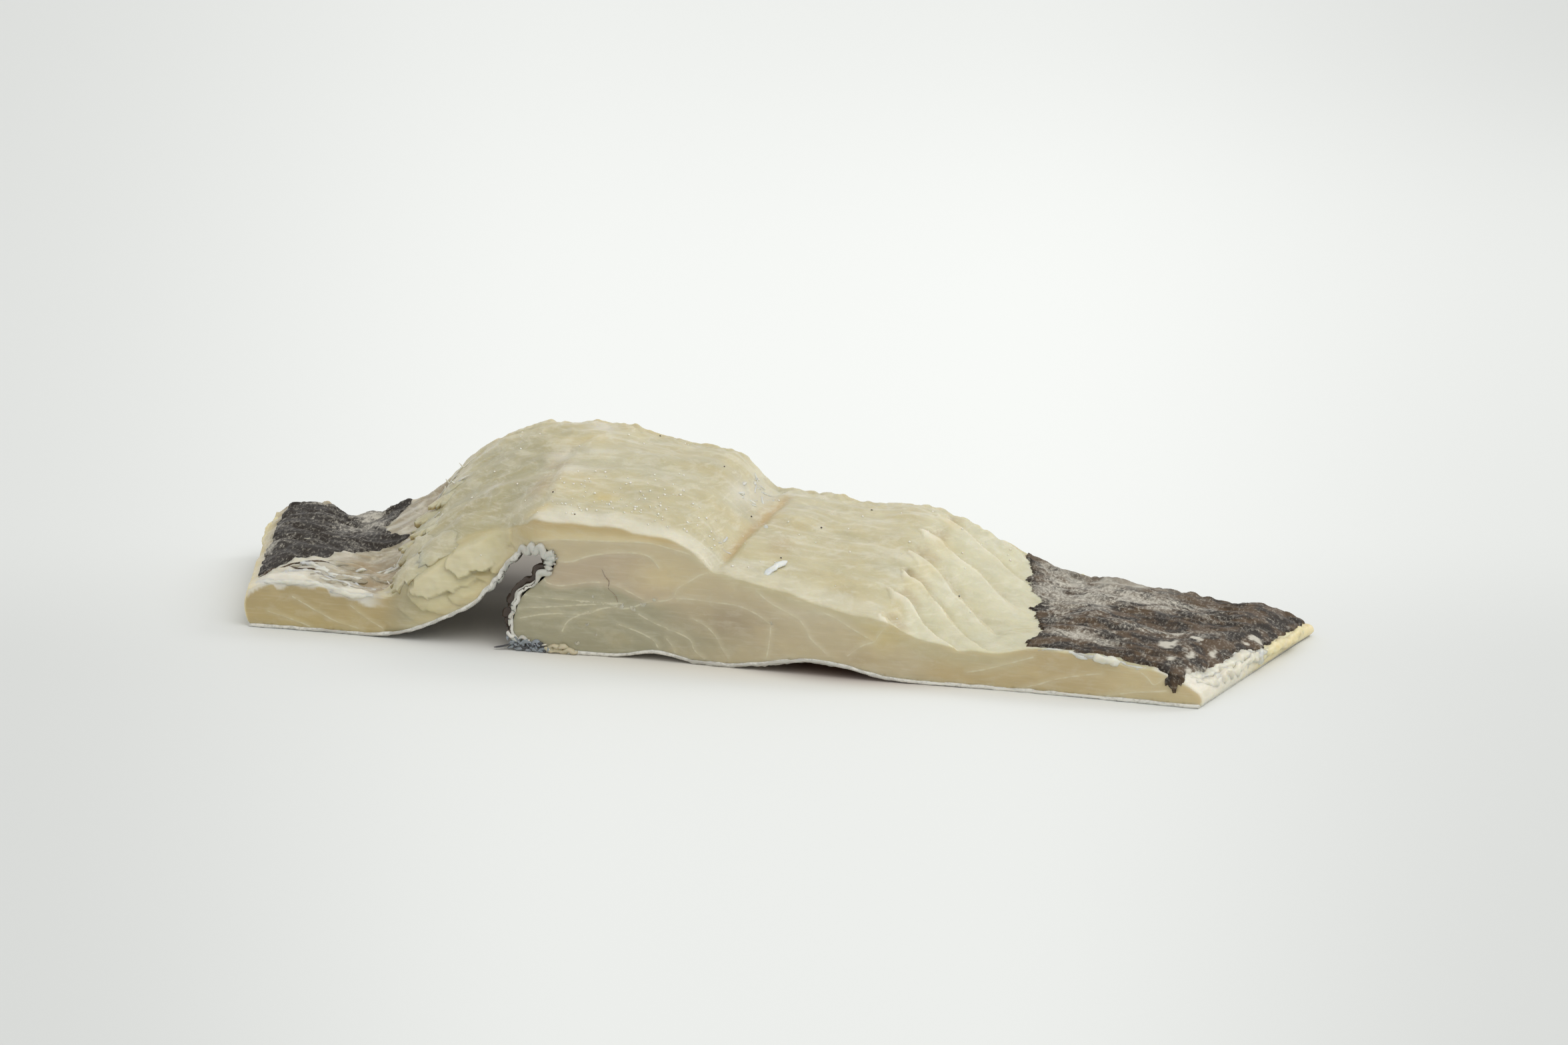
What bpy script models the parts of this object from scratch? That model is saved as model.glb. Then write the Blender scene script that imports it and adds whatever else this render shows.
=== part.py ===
"""A crosswise slab of salted dried cod, cut from a whole fish that was split open and laid flat.

The slab lies skin down, with its origin under its middle. Its length is +X, from one belly flap to the
other, and its depth is +Y, from the front cut to the back cut. A groove marks where the backbone was. The
loin left of it arches over a deep crease in the skin, where the back fin was, so a low tunnel runs under
it from front to back. Its left shoulder is broken into flakes where it meets the flap, and the slope
right of the other loin shows the crests of its flakes.

The slab is a stack of closed sections between its two cut faces. A section is read from landmarks on the
flesh and on the skin, in millimetres, and x counts there from the left end of the front cut.
"""

import math

import bmesh
import bpy
import numpy as np
from mathutils import Vector, noise
from mathutils.geometry import delaunay_2d_cdt

MM = 0.001
DEPTH = 78.0
CENTRE_X, CENTRE_Y = 142.8, 38.85

# Landmarks along the flesh, each as x and z at the front cut, then x and z at the back cut.
LEFT_RIM = [(0, 11, -26, 15), (8, 15.5, -19, 18.5)]
LEFT_FLAP = [(16, 16.2, -9, 18), (28, 15, 3, 15.7), (41, 12, 14, 18.5)]
LEFT_SHOULDER = [(47, 13.5, 24, 22.5), (54, 20, 33, 28), (65, 28, 43, 38), (77, 34, 56, 46)]
LEFT_LOIN = [(92, 40, 70, 51.2), (104, 39.8, 85, 52), (117, 39.5, 103, 51), (128, 38.6, 118, 47)]
GROOVE = [(139, 35, 133, 45), (146, 30.2, 145, 34.2), (151, 28.6, 151, 34.4)]
RIGHT_LOIN = [(158, 26.6, 160, 33.7), (175, 22.6, 178, 32.5), (187, 20, 195, 32.6), (199, 18, 206, 28.4)]
RIGHT_SLOPE = [(209, 13.5, 217, 23.5), (218, 11.2, 230, 17), (229, 10.8, 242, 13)]
RIGHT_FLAP = [(248, 13, 257, 12), (272, 10.8, 287, 7.8), (281, 9, 300, 7.8), (289, 4, 312, 4)]
FLESH = LEFT_RIM + LEFT_FLAP + LEFT_SHOULDER + LEFT_LOIN + GROOVE + RIGHT_LOIN + RIGHT_SLOPE + RIGHT_FLAP

# Landmarks along the skin, in the same form.
UNDER_LEFT_FLAP = [(0, 0, -25, 6), (18, 0, -8, 3), (38, 0, 10, 1.5), (52, 2.5, 26, 4.5)]
CREASE_LEFT_WALL = [(63, 7.2, 42, 11), (73, 12.6, 56, 17), (78.5, 18.5, 66, 22), (82, 23.5, 74, 25.5)]
CREASE_TOP = [(87, 28.8, 80, 28.5), (92.5, 31.5, 86, 30), (98, 30.3, 91, 29), (98.8, 27.5, 92.5, 26)]
CREASE_RIGHT_WALL = [(94.5, 22.5, 90, 21), (89, 18, 86.5, 16), (86.5, 13.5, 84.5, 11), (85, 7.2, 83.5, 6)]
UNDER_LEFT_LOIN = [(86.5, 2.8, 85, 2.2), (91, 0, 89, 0), (115, 0, 112, 0), (130, 2, 128, 1), (142, 0, 142, 0)]
UNDER_RIGHT_LOIN = [(150, 0, 152, 0), (162, 1.6, 165, 0.4), (175, 3.8, 178, 1), (186, 3.2, 190, 0.8)]
UNDER_RIGHT_FLAP = [(200, 0.6, 204, 0), (216, 0, 222, 0), (250, 0, 265, 0), (289, 0, 311, 0)]
CREASE = CREASE_LEFT_WALL + CREASE_TOP + CREASE_RIGHT_WALL
SKIN = UNDER_LEFT_FLAP + CREASE + UNDER_LEFT_LOIN + UNDER_RIGHT_LOIN + UNDER_RIGHT_FLAP

# How much closer together the section's points lie on the detailed stretches than on the plain ones.
DENSE, PLAIN = 2.0, 1.0
FLESH_DENSITY = [PLAIN] * 4 + [DENSE] * 5 + [PLAIN] * 4 + [DENSE] * 3 + [PLAIN] * 2
FLESH_DENSITY += [DENSE] * 4 + [PLAIN] * 4
SKIN_DENSITY = [PLAIN] * 3 + [DENSE] * 13 + [PLAIN] * 12
FLESH_STEPS, SKIN_STEPS, END_STEPS, DEPTH_STEPS = 118, 74, 3, 24
CAP_GRID = 6.5

# Waves that a knife leaves in the cuts, as height and length over one radian.
FRONT_WAVE, BACK_WAVE = (0.6, 17.0), (0.7, 21.0)

# The broken front of the left shoulder: where along x it starts, is whole, fades and ends, and its slope.
BREAK_START, BREAK_WHOLE, BREAK_FADES, BREAK_ENDS = 42.0, 62.0, 74.0, 96.0
BREAK_DEPTH, BREAK_FOOT_Z, BREAK_TOP_Z = 17.0, 6.0, 42.0
BREAK_ROUND, BREAK_ROUND_DEPTH = 3.0, 0.08

# A line up the middle of the crease, which parts the broken shoulder from the clean cut right of it.
CREASE_MIDDLE_Z, CREASE_MIDDLE_X, CREASE_MIDDLE_BLUR = (8, 18, 22, 28, 32), (82, 84, 88, 95.5, 110), 1.5

# The petals, flakes that overlap down the broken front. Their edges run down to the right, and wave.
PETAL_PITCH, PETAL_STEP, PETAL_FIRST, PETAL_CLIMB = 6.5, 2.2, 36.8, 0.12
PETAL_UP, PETAL_ALONG = np.array((0.447, 0.894)), np.array((0.894, -0.447))
PETAL_WAVE, PETAL_WAVE_LENGTH = 1.1, 6.0
PETAL_BELOW_TOP, PETAL_ABOVE_SKIN, PETAL_FADE_POWER = 8.0, 7.0, 12
PETAL_ROWS, PETAL_SPACING, PETAL_GAP = (0.0, 0.12, 0.42, 0.72), 3.0, 1.7
PETAL_ZONE, PETAL_REACH, PETAL_COUNT = (46.0, 90.0), (10.0, 90.0), 9

# The torn edge of the left loin over its flap: a line of teeth, and the step down from it.
EDGE_X, EDGE_TEETH, TOOTH_FIRST, TOOTH_PITCH, EDGE_SETBACK = 45.0, 4.5, 22.0, 18.0, 7.0
EDGE_STEP, EDGE_RAISED, EDGE_BLUR, EDGE_REACH_UP, EDGE_REACH_DOWN = 3.2, 0.55, 1.6, (10.0, 38.0), (22.0, 2.0)

# The fold on the left loin's crest, and the groove of the backbone.
FOLD_X, FOLD_STEP, FOLD_BLUR, FOLD_WAVE, FOLD_FADE_X = 90.0, 1.4, 2.5, (2.0, 9.0), (58.0, 84.0)
GROOVE_X, GROOVE_DRIFT, GROOVE_DEPTH, GROOVE_HALF_WIDTH = 147.3, 0.07, 2.0, 2.4

# The flakes on the right slope: a crest every pitch of y, which runs down to the right.
FLAKE_X, FLAKE_SLANT, FLAKE_PITCH, FLAKE_FIRST = 198.0, 0.52, 15.8, 6.2
FLAKE_STEP, FLAKE_MIDDLE, FLAKE_CLIMB, FLAKE_WAVE = 1.8, 0.4, 0.8, (0.8, 5.0)
FLAKES_START, FLAKES_END = (194.0, 201.0), (221.0, 234.0)

# How far the flesh swells between its cuts, on the flaps and on the loins, and where the loins lie.
FLAP_SWELL, LOIN_SWELL, LOINS_START, LOINS_END = 1.2, 2.0, (60.0, 100.0), (200.0, 230.0)

# Lumps of dried flesh, as height, length and breadth.
LARGE_LUMPS, SMALL_LUMPS = (0.9, 19.0, 15.0), (0.4, 8.0, 8.0)
LEFT_END_BULGE, RIGHT_END_BULGE = -1.5, 1.0

FLESH_COLOUR = (0.56, 0.49, 0.31, 1)
SKIN_COLOUR = (0.30, 0.30, 0.26, 1)
LINING_COLOUR = (0.10, 0.09, 0.08, 1)
FLESH_SLOT, SKIN_SLOT, LINING_SLOT = 0, 1, 2
LEFT_LINING_END, RIGHT_LINING_START = 24.0, 238.0
SMOOTH_BELOW = math.radians(40)


def smoothstep(low, high, x):
    """0 below low, 1 above high, and smooth between them."""
    t = np.clip((np.asarray(x, float) - low) / (high - low), 0.0, 1.0)
    return t * t * (3.0 - 2.0 * t)


def shingle(t, climb):
    """Climbs from 0 to 1 over this share of each unit of t, then falls back to 0 over the rest."""
    share = t - np.floor(t)
    return np.minimum(share / climb, (1 - share) / (1 - climb))


def curve_through(points, at):
    """Catmull-Rom curve through points, read at parameters counted in points."""
    p = np.vstack([2 * points[0] - points[1], points, 2 * points[-1] - points[-2]])
    i = np.clip(np.floor(at).astype(int), 0, len(points) - 2)
    t = (at - i)[:, None]
    a, b, c, d = p[i], p[i + 1], p[i + 2], p[i + 3]
    return 0.5 * (2 * b + (c - a) * t + (2 * a - 5 * b + 4 * c - d) * t**2 + (3 * b - a - 3 * c + d) * t**3)


def spread(landmarks, density, steps):
    """Parameters that step along the landmarks' mean length, closer together where density is high."""
    rows = np.array(landmarks, float)
    spans = np.diff(rows, axis=0)
    length = (np.hypot(spans[:, 0], spans[:, 1]) + np.hypot(spans[:, 2], spans[:, 3])) * np.array(density)
    total = np.concatenate([[0.0], np.cumsum(length)])
    return np.interp(np.linspace(0.0, total[-1], steps + 1), total, np.arange(len(rows)))


def outline(landmarks, at, v):
    """The landmarks' curve at depth share v, 0 at the front cut and 1 at the back one."""
    rows = np.array(landmarks, float)
    return (1 - v) * curve_through(rows[:, :2], at) + v * curve_through(rows[:, 2:], at)


def wave(size, at):
    """A sine of the given height and length."""
    height, length = size
    return height * np.sin(at / length)


def shoulder_share(x, z):
    """1 where the front of the left loin is broken back, 0 where the cut is clean."""
    along = smoothstep(BREAK_START, BREAK_WHOLE, x) * (1 - smoothstep(BREAK_FADES, BREAK_ENDS, x))
    left_of_middle = np.interp(z, CREASE_MIDDLE_Z, CREASE_MIDDLE_X) - x
    return along * smoothstep(-CREASE_MIDDLE_BLUR, CREASE_MIDDLE_BLUR, left_of_middle)


def height_of(landmarks, x):
    """The height of some landmarks' front outline at x."""
    xs, zs = np.array(landmarks).T[:2]
    return np.interp(x, xs, zs)


def petals(x, z):
    """How far the petals stand forward of the broken front."""
    up = PETAL_UP[0] * x + PETAL_UP[1] * z
    along = PETAL_ALONG[0] * x + PETAL_ALONG[1] * z
    rise = (up + wave((PETAL_WAVE, PETAL_WAVE_LENGTH), along) - PETAL_FIRST) / PETAL_PITCH
    below_top = height_of(LEFT_SHOULDER + LEFT_LOIN, x) - z
    above_skin = z - height_of(UNDER_LEFT_FLAP + CREASE_LEFT_WALL + CREASE_TOP[:3], x)
    shown = smoothstep(0, PETAL_BELOW_TOP, below_top) * smoothstep(0, PETAL_ABOVE_SKIN, above_skin)
    return PETAL_STEP * shingle(rise, PETAL_CLIMB) * shown * shoulder_share(x, z)


def clean_front_y(x, z):
    """Where the front cut lies, sloping back over the broken left shoulder."""
    return BREAK_DEPTH * shoulder_share(x, z) * smoothstep(BREAK_FOOT_Z, BREAK_TOP_Z, z) + wave(FRONT_WAVE, x)


def front_y(x, z):
    """Where the front face lies, petals and all."""
    return clean_front_y(x, z) - petals(x, z)


def back_y(x, z):
    """Where the back cut lies, the same at every height."""
    return DEPTH + wave(BACK_WAVE, x + BACK_WAVE[1]) + 0 * z


def depth_y(x, z, v):
    """How far back a point of the section at depth share v lies."""
    near = clean_front_y(x, z)
    return near + (back_y(x, z) - near) * v - petals(x, z) * (1 - v) ** PETAL_FADE_POWER


def edge_relief(x, y):
    """The loin's torn edge, standing over the flap along a line of teeth."""
    teeth = 1 - 2 * shingle((y - TOOTH_FIRST) / TOOTH_PITCH, 0.5)
    edge = EDGE_X - EDGE_TEETH * teeth - EDGE_SETBACK * smoothstep(0.6 * DEPTH, DEPTH, y)
    step = smoothstep(edge - EDGE_BLUR, edge + EDGE_BLUR, x)
    raised = step * (1 - smoothstep(edge + EDGE_REACH_UP[0], edge + EDGE_REACH_UP[1], x))
    sunk = (1 - step) * smoothstep(edge - EDGE_REACH_DOWN[0], edge - EDGE_REACH_DOWN[1], x)
    near_cuts = smoothstep(0.03 * DEPTH, 0.15 * DEPTH, y) * (1 - smoothstep(0.82 * DEPTH, 0.97 * DEPTH, y))
    return EDGE_STEP * (EDGE_RAISED * raised - (1 - EDGE_RAISED) * sunk) * near_cuts


def fold_relief(x, y):
    """A shallow fold along the loin's crest, its left side lower, which fades out towards the back."""
    line = FOLD_X + wave(FOLD_WAVE, y)
    left_side = (1 - smoothstep(line - FOLD_BLUR, line + FOLD_BLUR, x)) * smoothstep(*FOLD_FADE_X, x)
    return -FOLD_STEP * left_side * (1 - smoothstep(0.58 * DEPTH, 0.95 * DEPTH, y))


def groove_relief(x, y):
    """The narrow groove that the backbone left, running out before the back cut."""
    near_cuts = smoothstep(-0.08 * DEPTH, 0.1 * DEPTH, y) * (1 - smoothstep(0.67 * DEPTH, 0.9 * DEPTH, y))
    return -GROOVE_DEPTH * near_cuts * np.exp(-(((x - GROOVE_X - GROOVE_DRIFT * y) / GROOVE_HALF_WIDTH) ** 2))


def slope_relief(x, y):
    """Flakes on the right slope, each with a crest that drops behind it."""
    across = y + FLAKE_SLANT * (x - FLAKE_X) + wave(FLAKE_WAVE, x)
    flake = shingle((across - FLAKE_FIRST) / FLAKE_PITCH + 1 - FLAKE_CLIMB, FLAKE_CLIMB)
    shown = smoothstep(*FLAKES_START, x) * (1 - smoothstep(*FLAKES_END, x))
    near_cuts = smoothstep(-0.04 * DEPTH, 0.06 * DEPTH, y) * (1 - smoothstep(0.9 * DEPTH, DEPTH, y))
    return FLAKE_STEP * (flake - FLAKE_MIDDLE) * shown * near_cuts


def lumps(size, x, y):
    """Soft lumps of one size."""
    height, length, breadth = size
    return np.array([height * noise.noise((a / length, b / breadth, height)) for a, b in zip(x, y)])


def crown(x, z, v):
    """How far the flesh swells between its two cuts, soonest behind the broken shoulder."""
    swell = FLAP_SWELL + LOIN_SWELL * smoothstep(*LOINS_START, x) * (1 - smoothstep(*LOINS_END, x))
    rounded = BREAK_ROUND * shoulder_share(x, z) * (1 - np.exp(-v / BREAK_ROUND_DEPTH)) * (1 - v)
    return swell * 4 * v * (1 - v) + rounded


def end_cap(low, high, bulge):
    """Points between the skin's end and the flesh's end, swelling outwards."""
    t = np.linspace(0.0, 1.0, END_STEPS + 1)[1:-1, None]
    points = low + (high - low) * t
    points[:, 0] += bulge * np.sin(math.pi * t[:, 0])
    return points


def section(v, skin_at, flesh_at):
    """One closed section of the slab at depth share v: skin, right end, flesh, left end."""
    skin = outline(SKIN, skin_at, v)
    skin[:, 1] = np.maximum(skin[:, 1], 0.0)
    flesh = outline(FLESH, flesh_at, v)
    x, z = flesh.T.copy()
    y = depth_y(x, z, v)
    flesh[:, 1] += crown(x, z, v) + lumps(LARGE_LUMPS, x, y) + lumps(SMALL_LUMPS, x, y)
    flesh[:, 1] += edge_relief(x, y) + fold_relief(x, y) + groove_relief(x, y) + slope_relief(x, y)
    right = end_cap(skin[-1], flesh[-1], RIGHT_END_BULGE)
    left = end_cap(skin[0], flesh[0], LEFT_END_BULGE)[::-1]
    loop = np.vstack([skin, right, flesh[::-1], left])
    return np.column_stack([loop[:, 0], depth_y(loop[:, 0], loop[:, 1], v), loop[:, 1]])


def inside(points, loop):
    """Which points lie inside a closed loop in the plane."""
    x, z = points[:, 0:1], points[:, 1:2]
    x0, z0 = loop[:, 0], loop[:, 1]
    x1, z1 = np.roll(x0, -1), np.roll(z0, -1)
    climb = np.where(z1 == z0, 1.0, z1 - z0)
    crosses = ((z0 > z) != (z1 > z)) & (x < x0 + (z - z0) * (x1 - x0) / climb)
    return crosses.sum(axis=1) % 2 == 1


def well_inside(points, loop, gap):
    """The points that lie inside a loop, at least this far from its edge."""
    points = points[inside(points, loop)]
    side = np.roll(loop, -1, axis=0) - loop
    edge = np.vstack([loop + side * t for t in (0.0, 0.25, 0.5, 0.75)])
    nearest = np.linalg.norm(points[:, None, :] - edge[None, :, :], axis=2).min(axis=1)
    return points[nearest > gap]


def cap_points(loop):
    """An even grid of points inside a loop."""
    low, high = loop.min(axis=0), loop.max(axis=0)
    columns = np.arange(low[0], high[0], CAP_GRID)
    rows = np.arange(low[1] + CAP_GRID / 2, high[1], CAP_GRID * 0.87)
    points = np.array([(x + (row % 2) * CAP_GRID / 2, z) for row, z in enumerate(rows) for x in columns])
    return well_inside(points, loop, CAP_GRID * 0.45)


def petal_points(loop):
    """Rows of points that follow the petals' edges, so that each step is crisp."""
    points = []
    for along in np.arange(*PETAL_REACH, PETAL_SPACING):
        wavy = PETAL_FIRST - wave((PETAL_WAVE, PETAL_WAVE_LENGTH), along)
        for rise in [k + share for k in range(-2, PETAL_COUNT - 2) for share in PETAL_ROWS]:
            points.append(PETAL_UP * (wavy + PETAL_PITCH * rise) + PETAL_ALONG * along)
    points = np.array(points)
    low, high = PETAL_ZONE
    return well_inside(points[(points[:, 0] > low) & (points[:, 0] < high)], loop, PETAL_GAP)


def front_cap_points(loop):
    """Points for the front cut: rows over the petals, and the even grid elsewhere."""
    plain = cap_points(loop)
    low, high = PETAL_ZONE
    clear = (plain[:, 0] < low - 2) | (plain[:, 0] > high + 2)
    return np.vstack([petal_points(loop), plain[clear]])


def add_cap(mesh, edge, inner, face_y):
    """Fills one cut face with triangles, its inner points lying on face_y(x, z)."""
    loop = np.array([(v.co.x, v.co.z) for v in edge]) / MM
    flat = [Vector(p) for p in np.vstack([loop, inner])]
    rim = [(i, (i + 1) % len(loop)) for i in range(len(loop))]
    _, _, faces, origins, _, _ = delaunay_2d_cdt(flat, rim, [], 1, 1e-5)
    depths = face_y(inner[:, 0], inner[:, 1])
    corners = list(edge) + [mesh.verts.new((x * MM, y * MM, z * MM)) for (x, z), y in zip(inner, depths)]
    for face in faces:
        mesh.faces.new([corners[origins[i][0]] for i in face])


def in_plane(ring):
    """A ring of vertices as x and z, in millimetres."""
    return np.array([(v.co.x, v.co.z) for v in ring]) / MM


def slab_mesh():
    """The whole slab as one closed mesh, in metres, its faces sorted into flesh, skin and lining."""
    skin_at = spread(SKIN, SKIN_DENSITY, SKIN_STEPS)
    flesh_at = spread(FLESH, FLESH_DENSITY, FLESH_STEPS)
    mesh = bmesh.new()
    rings = []
    for k in range(DEPTH_STEPS + 1):
        points = section(k / DEPTH_STEPS, skin_at, flesh_at)
        rings.append([mesh.verts.new(p * MM) for p in points])
    for near, far in zip(rings, rings[1:]):
        for i in range(len(near)):
            j = (i + 1) % len(near)
            face = mesh.faces.new((near[i], far[i], far[j], near[j]))
            middle = near[i].co.x / MM
            if i < SKIN_STEPS:
                face.material_index = SKIN_SLOT
            elif middle < LEFT_LINING_END or middle > RIGHT_LINING_START:
                face.material_index = LINING_SLOT
    add_cap(mesh, rings[0], front_cap_points(in_plane(rings[0])), front_y)
    add_cap(mesh, rings[-1], cap_points(in_plane(rings[-1])), back_y)
    bmesh.ops.recalc_face_normals(mesh, faces=mesh.faces)
    bmesh.ops.translate(mesh, verts=mesh.verts, vec=(-CENTRE_X * MM, -CENTRE_Y * MM, 0.0))
    return mesh


def surface(name, colour, roughness):
    """A plain material for one kind of surface."""
    material = bpy.data.materials.new(name)
    material.use_nodes = True
    shader = material.node_tree.nodes["Principled BSDF"]
    shader.inputs["Base Color"].default_value = colour
    shader.inputs["Roughness"].default_value = roughness
    return material


def clear_scene():
    """Removes whatever the file opened with."""
    for old in list(bpy.data.objects):
        bpy.data.objects.remove(old, do_unlink=True)


def main():
    clear_scene()
    mesh = slab_mesh()
    data = bpy.data.meshes.new("cod_slab")
    mesh.to_mesh(data)
    mesh.free()
    data.materials.append(surface("cod_flesh", FLESH_COLOUR, 0.45))
    data.materials.append(surface("cod_skin", SKIN_COLOUR, 0.6))
    data.materials.append(surface("belly_lining", LINING_COLOUR, 0.55))
    data.shade_smooth()
    data.set_sharp_from_angle(angle=SMOOTH_BELOW)
    slab = bpy.data.objects.new("cod_slab", data)
    bpy.context.scene.collection.objects.link(slab)


main()
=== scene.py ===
"""Looks of the slab of salted dried cod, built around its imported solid.

The slab's flesh, skin, belly lining and loose flakes are modelled over the same landmarks as the solid, in
millimetres, where x counts from the left end of the front cut, y from the front cut and z from the floor.
"""

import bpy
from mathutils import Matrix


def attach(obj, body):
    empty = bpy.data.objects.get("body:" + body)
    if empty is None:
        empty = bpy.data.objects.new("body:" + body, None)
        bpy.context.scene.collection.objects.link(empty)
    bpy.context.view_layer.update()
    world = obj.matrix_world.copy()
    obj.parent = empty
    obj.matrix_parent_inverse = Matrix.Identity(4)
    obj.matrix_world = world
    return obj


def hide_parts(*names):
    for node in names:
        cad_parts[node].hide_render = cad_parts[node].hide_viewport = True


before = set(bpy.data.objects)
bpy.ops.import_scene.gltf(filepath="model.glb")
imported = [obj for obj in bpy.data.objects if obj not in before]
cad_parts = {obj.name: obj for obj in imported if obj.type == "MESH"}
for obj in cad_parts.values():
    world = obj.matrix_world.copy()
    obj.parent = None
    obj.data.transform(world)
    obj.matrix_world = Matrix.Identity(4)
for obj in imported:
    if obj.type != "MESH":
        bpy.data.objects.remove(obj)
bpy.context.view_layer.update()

import math

import bpy
import numpy as np
from mathutils import Matrix, Vector, noise
from mathutils.bvhtree import BVHTree
from mathutils.geometry import delaunay_2d_cdt

MM = 0.001
DEPTH = 78.0
CENTRE_X, CENTRE_Y = 142.8, 38.85

# Landmarks along the flesh, each as x and z at the front cut, then x and z at the back cut.
LEFT_RIM = [(0, 11, -26, 15), (8, 15.5, -19, 18.5)]
LEFT_FLAP = [(16, 16.2, -9, 18), (28, 15, 3, 15.7), (41, 12, 14, 18.5)]
LEFT_SHOULDER = [(47, 13.5, 24, 22.5), (54, 20, 33, 28), (65, 28, 43, 38), (77, 34, 56, 46)]
LEFT_LOIN = [(92, 40, 70, 51.2), (104, 39.8, 85, 52), (117, 39.5, 103, 51), (128, 38.6, 118, 47)]
GROOVE = [(139, 35, 133, 45), (146, 30.2, 145, 34.2), (151, 28.6, 151, 34.4)]
RIGHT_LOIN = [(158, 26.6, 160, 33.7), (175, 22.6, 178, 32.5), (187, 20, 195, 32.6), (199, 18, 206, 28.4)]
RIGHT_SLOPE = [(209, 13.5, 217, 23.5), (218, 11.2, 230, 17), (229, 10.8, 242, 13)]
RIGHT_FLAP = [(248, 13, 257, 12), (272, 10.8, 287, 7.8), (281, 9, 300, 7.8), (289, 4, 312, 4)]
FLESH = LEFT_RIM + LEFT_FLAP + LEFT_SHOULDER + LEFT_LOIN + GROOVE + RIGHT_LOIN + RIGHT_SLOPE + RIGHT_FLAP

# Landmarks along the skin, in the same form.
UNDER_LEFT_FLAP = [(0, 0, -25, 6), (18, 0, -8, 3), (38, 0, 10, 1.5), (52, 2.5, 26, 4.5)]
CREASE_LEFT_WALL = [(63, 7.2, 42, 11), (73, 12.6, 56, 17), (78.5, 18.5, 66, 22), (82, 23.5, 74, 25.5)]
CREASE_TOP = [(87, 28.8, 80, 28.5), (92.5, 31.5, 86, 30), (98, 30.3, 91, 29), (98.8, 27.5, 92.5, 26)]
CREASE_RIGHT_WALL = [(94.5, 22.5, 90, 21), (89, 18, 86.5, 16), (86.5, 13.5, 84.5, 11), (85, 7.2, 83.5, 6)]
UNDER_LEFT_LOIN = [(86.5, 2.8, 85, 2.2), (91, 0, 89, 0), (115, 0, 112, 0), (130, 2, 128, 1), (142, 0, 142, 0)]
UNDER_RIGHT_LOIN = [(150, 0, 152, 0), (162, 1.6, 165, 0.4), (175, 3.8, 178, 1), (186, 3.2, 190, 0.8)]
UNDER_RIGHT_FLAP = [(200, 0.6, 204, 0), (216, 0, 222, 0), (250, 0, 265, 0), (289, 0, 311, 0)]
CREASE = CREASE_LEFT_WALL + CREASE_TOP + CREASE_RIGHT_WALL
UNDER_SHOULDER = UNDER_LEFT_FLAP + CREASE_LEFT_WALL + CREASE_TOP[:3]
SKIN = UNDER_LEFT_FLAP + CREASE + UNDER_LEFT_LOIN + UNDER_RIGHT_LOIN + UNDER_RIGHT_FLAP

# Waves that a knife leaves in the cuts, as height and length over one radian.
FRONT_WAVE, BACK_WAVE = (0.6, 17.0), (0.7, 21.0)

# The broken front of the left shoulder: where along x it starts, is whole, fades and ends, and its slope.
BREAK_SPAN = (42.0, 62.0, 74.0, 96.0)
BREAK_DEPTH, BREAK_FOOT_Z, BREAK_TOP_Z = 17.0, 6.0, 42.0
BREAK_ROUND, BREAK_ROUND_DEPTH = 3.0, 0.08
CREASE_MIDDLE_Z, CREASE_MIDDLE_X, CREASE_MIDDLE_BLUR = (8, 18, 22, 28, 32), (82, 84, 88, 95.5, 110), 1.5

# The petals, flakes that overlap down the broken front. Their edges run down to the right, and wave.
PETAL_PITCH, PETAL_STEP, PETAL_FIRST, PETAL_CLIMB = 6.5, 2.2, 36.8, 0.12
PETAL_UP, PETAL_ALONG = np.array((0.447, 0.894)), np.array((0.894, -0.447))
PETAL_WAVE, PETAL_SHARE = (1.1, 6.0), 0.6
PETAL_BELOW_TOP, PETAL_ABOVE_SKIN, PETAL_FADE_POWER = 8.0, 7.0, 12

# The torn edge of the left loin over its flap, the fold on its crest, and the groove of the backbone.
EDGE_X, EDGE_TEETH, TOOTH_FIRST, TOOTH_PITCH, EDGE_SETBACK = 45.0, 4.5, 22.0, 18.0, 7.0
EDGE_STEP, EDGE_RAISED, EDGE_BLUR, EDGE_REACH_UP, EDGE_REACH_DOWN = 3.2, 0.55, 1.6, (10.0, 38.0), (22.0, 2.0)
FOLD_X, FOLD_STEP, FOLD_BLUR, FOLD_WAVE, FOLD_FADE_X = 90.0, 1.4, 2.5, (2.0, 9.0), (58.0, 84.0)
GROOVE_X, GROOVE_DRIFT, GROOVE_DEPTH, GROOVE_HALF_WIDTH = 147.3, 0.07, 2.0, 2.4

# The depth shares where the reliefs start, are whole, fade and end, and the same for the fold's fading.
EDGE_SPAN, GROOVE_SPAN = (0.03, 0.15, 0.82, 0.97), (-0.08, 0.1, 0.67, 0.9)
SLOPE_SPAN, FOLD_FADES = (-0.04, 0.06, 0.93, 1.02), (0.58, 0.95)

# The flakes on the right slope: a crest every pitch of y, which runs down to the right.
FLAKE_X, FLAKE_SLANT, FLAKE_CRESTS = 198.0, (0.78, 0.46), (-14, 2, 15, 26, 37, 54, 70, 86, 102)
FLAKE_STEP, FLAKE_ZIGZAG, FLAKE_CLIMB, FLAKE_WAVE = 2.3, 5.0, 0.84, (0.8, 5.0)
FLAKES_END = (219.0, 236.0)

# How far the flesh swells between its cuts, and lumps of dried flesh as height, length and breadth.
FLAP_SWELL, LOIN_SWELL, LOINS_SPAN = 1.2, 2.0, (60.0, 100.0, 200.0, 230.0)
LARGE_LUMPS, SMALL_LUMPS = (0.9, 19.0, 15.0), (0.4, 8.0, 8.0)
LEFT_END_BULGE, RIGHT_END_BULGE = -1.5, 1.0

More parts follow.
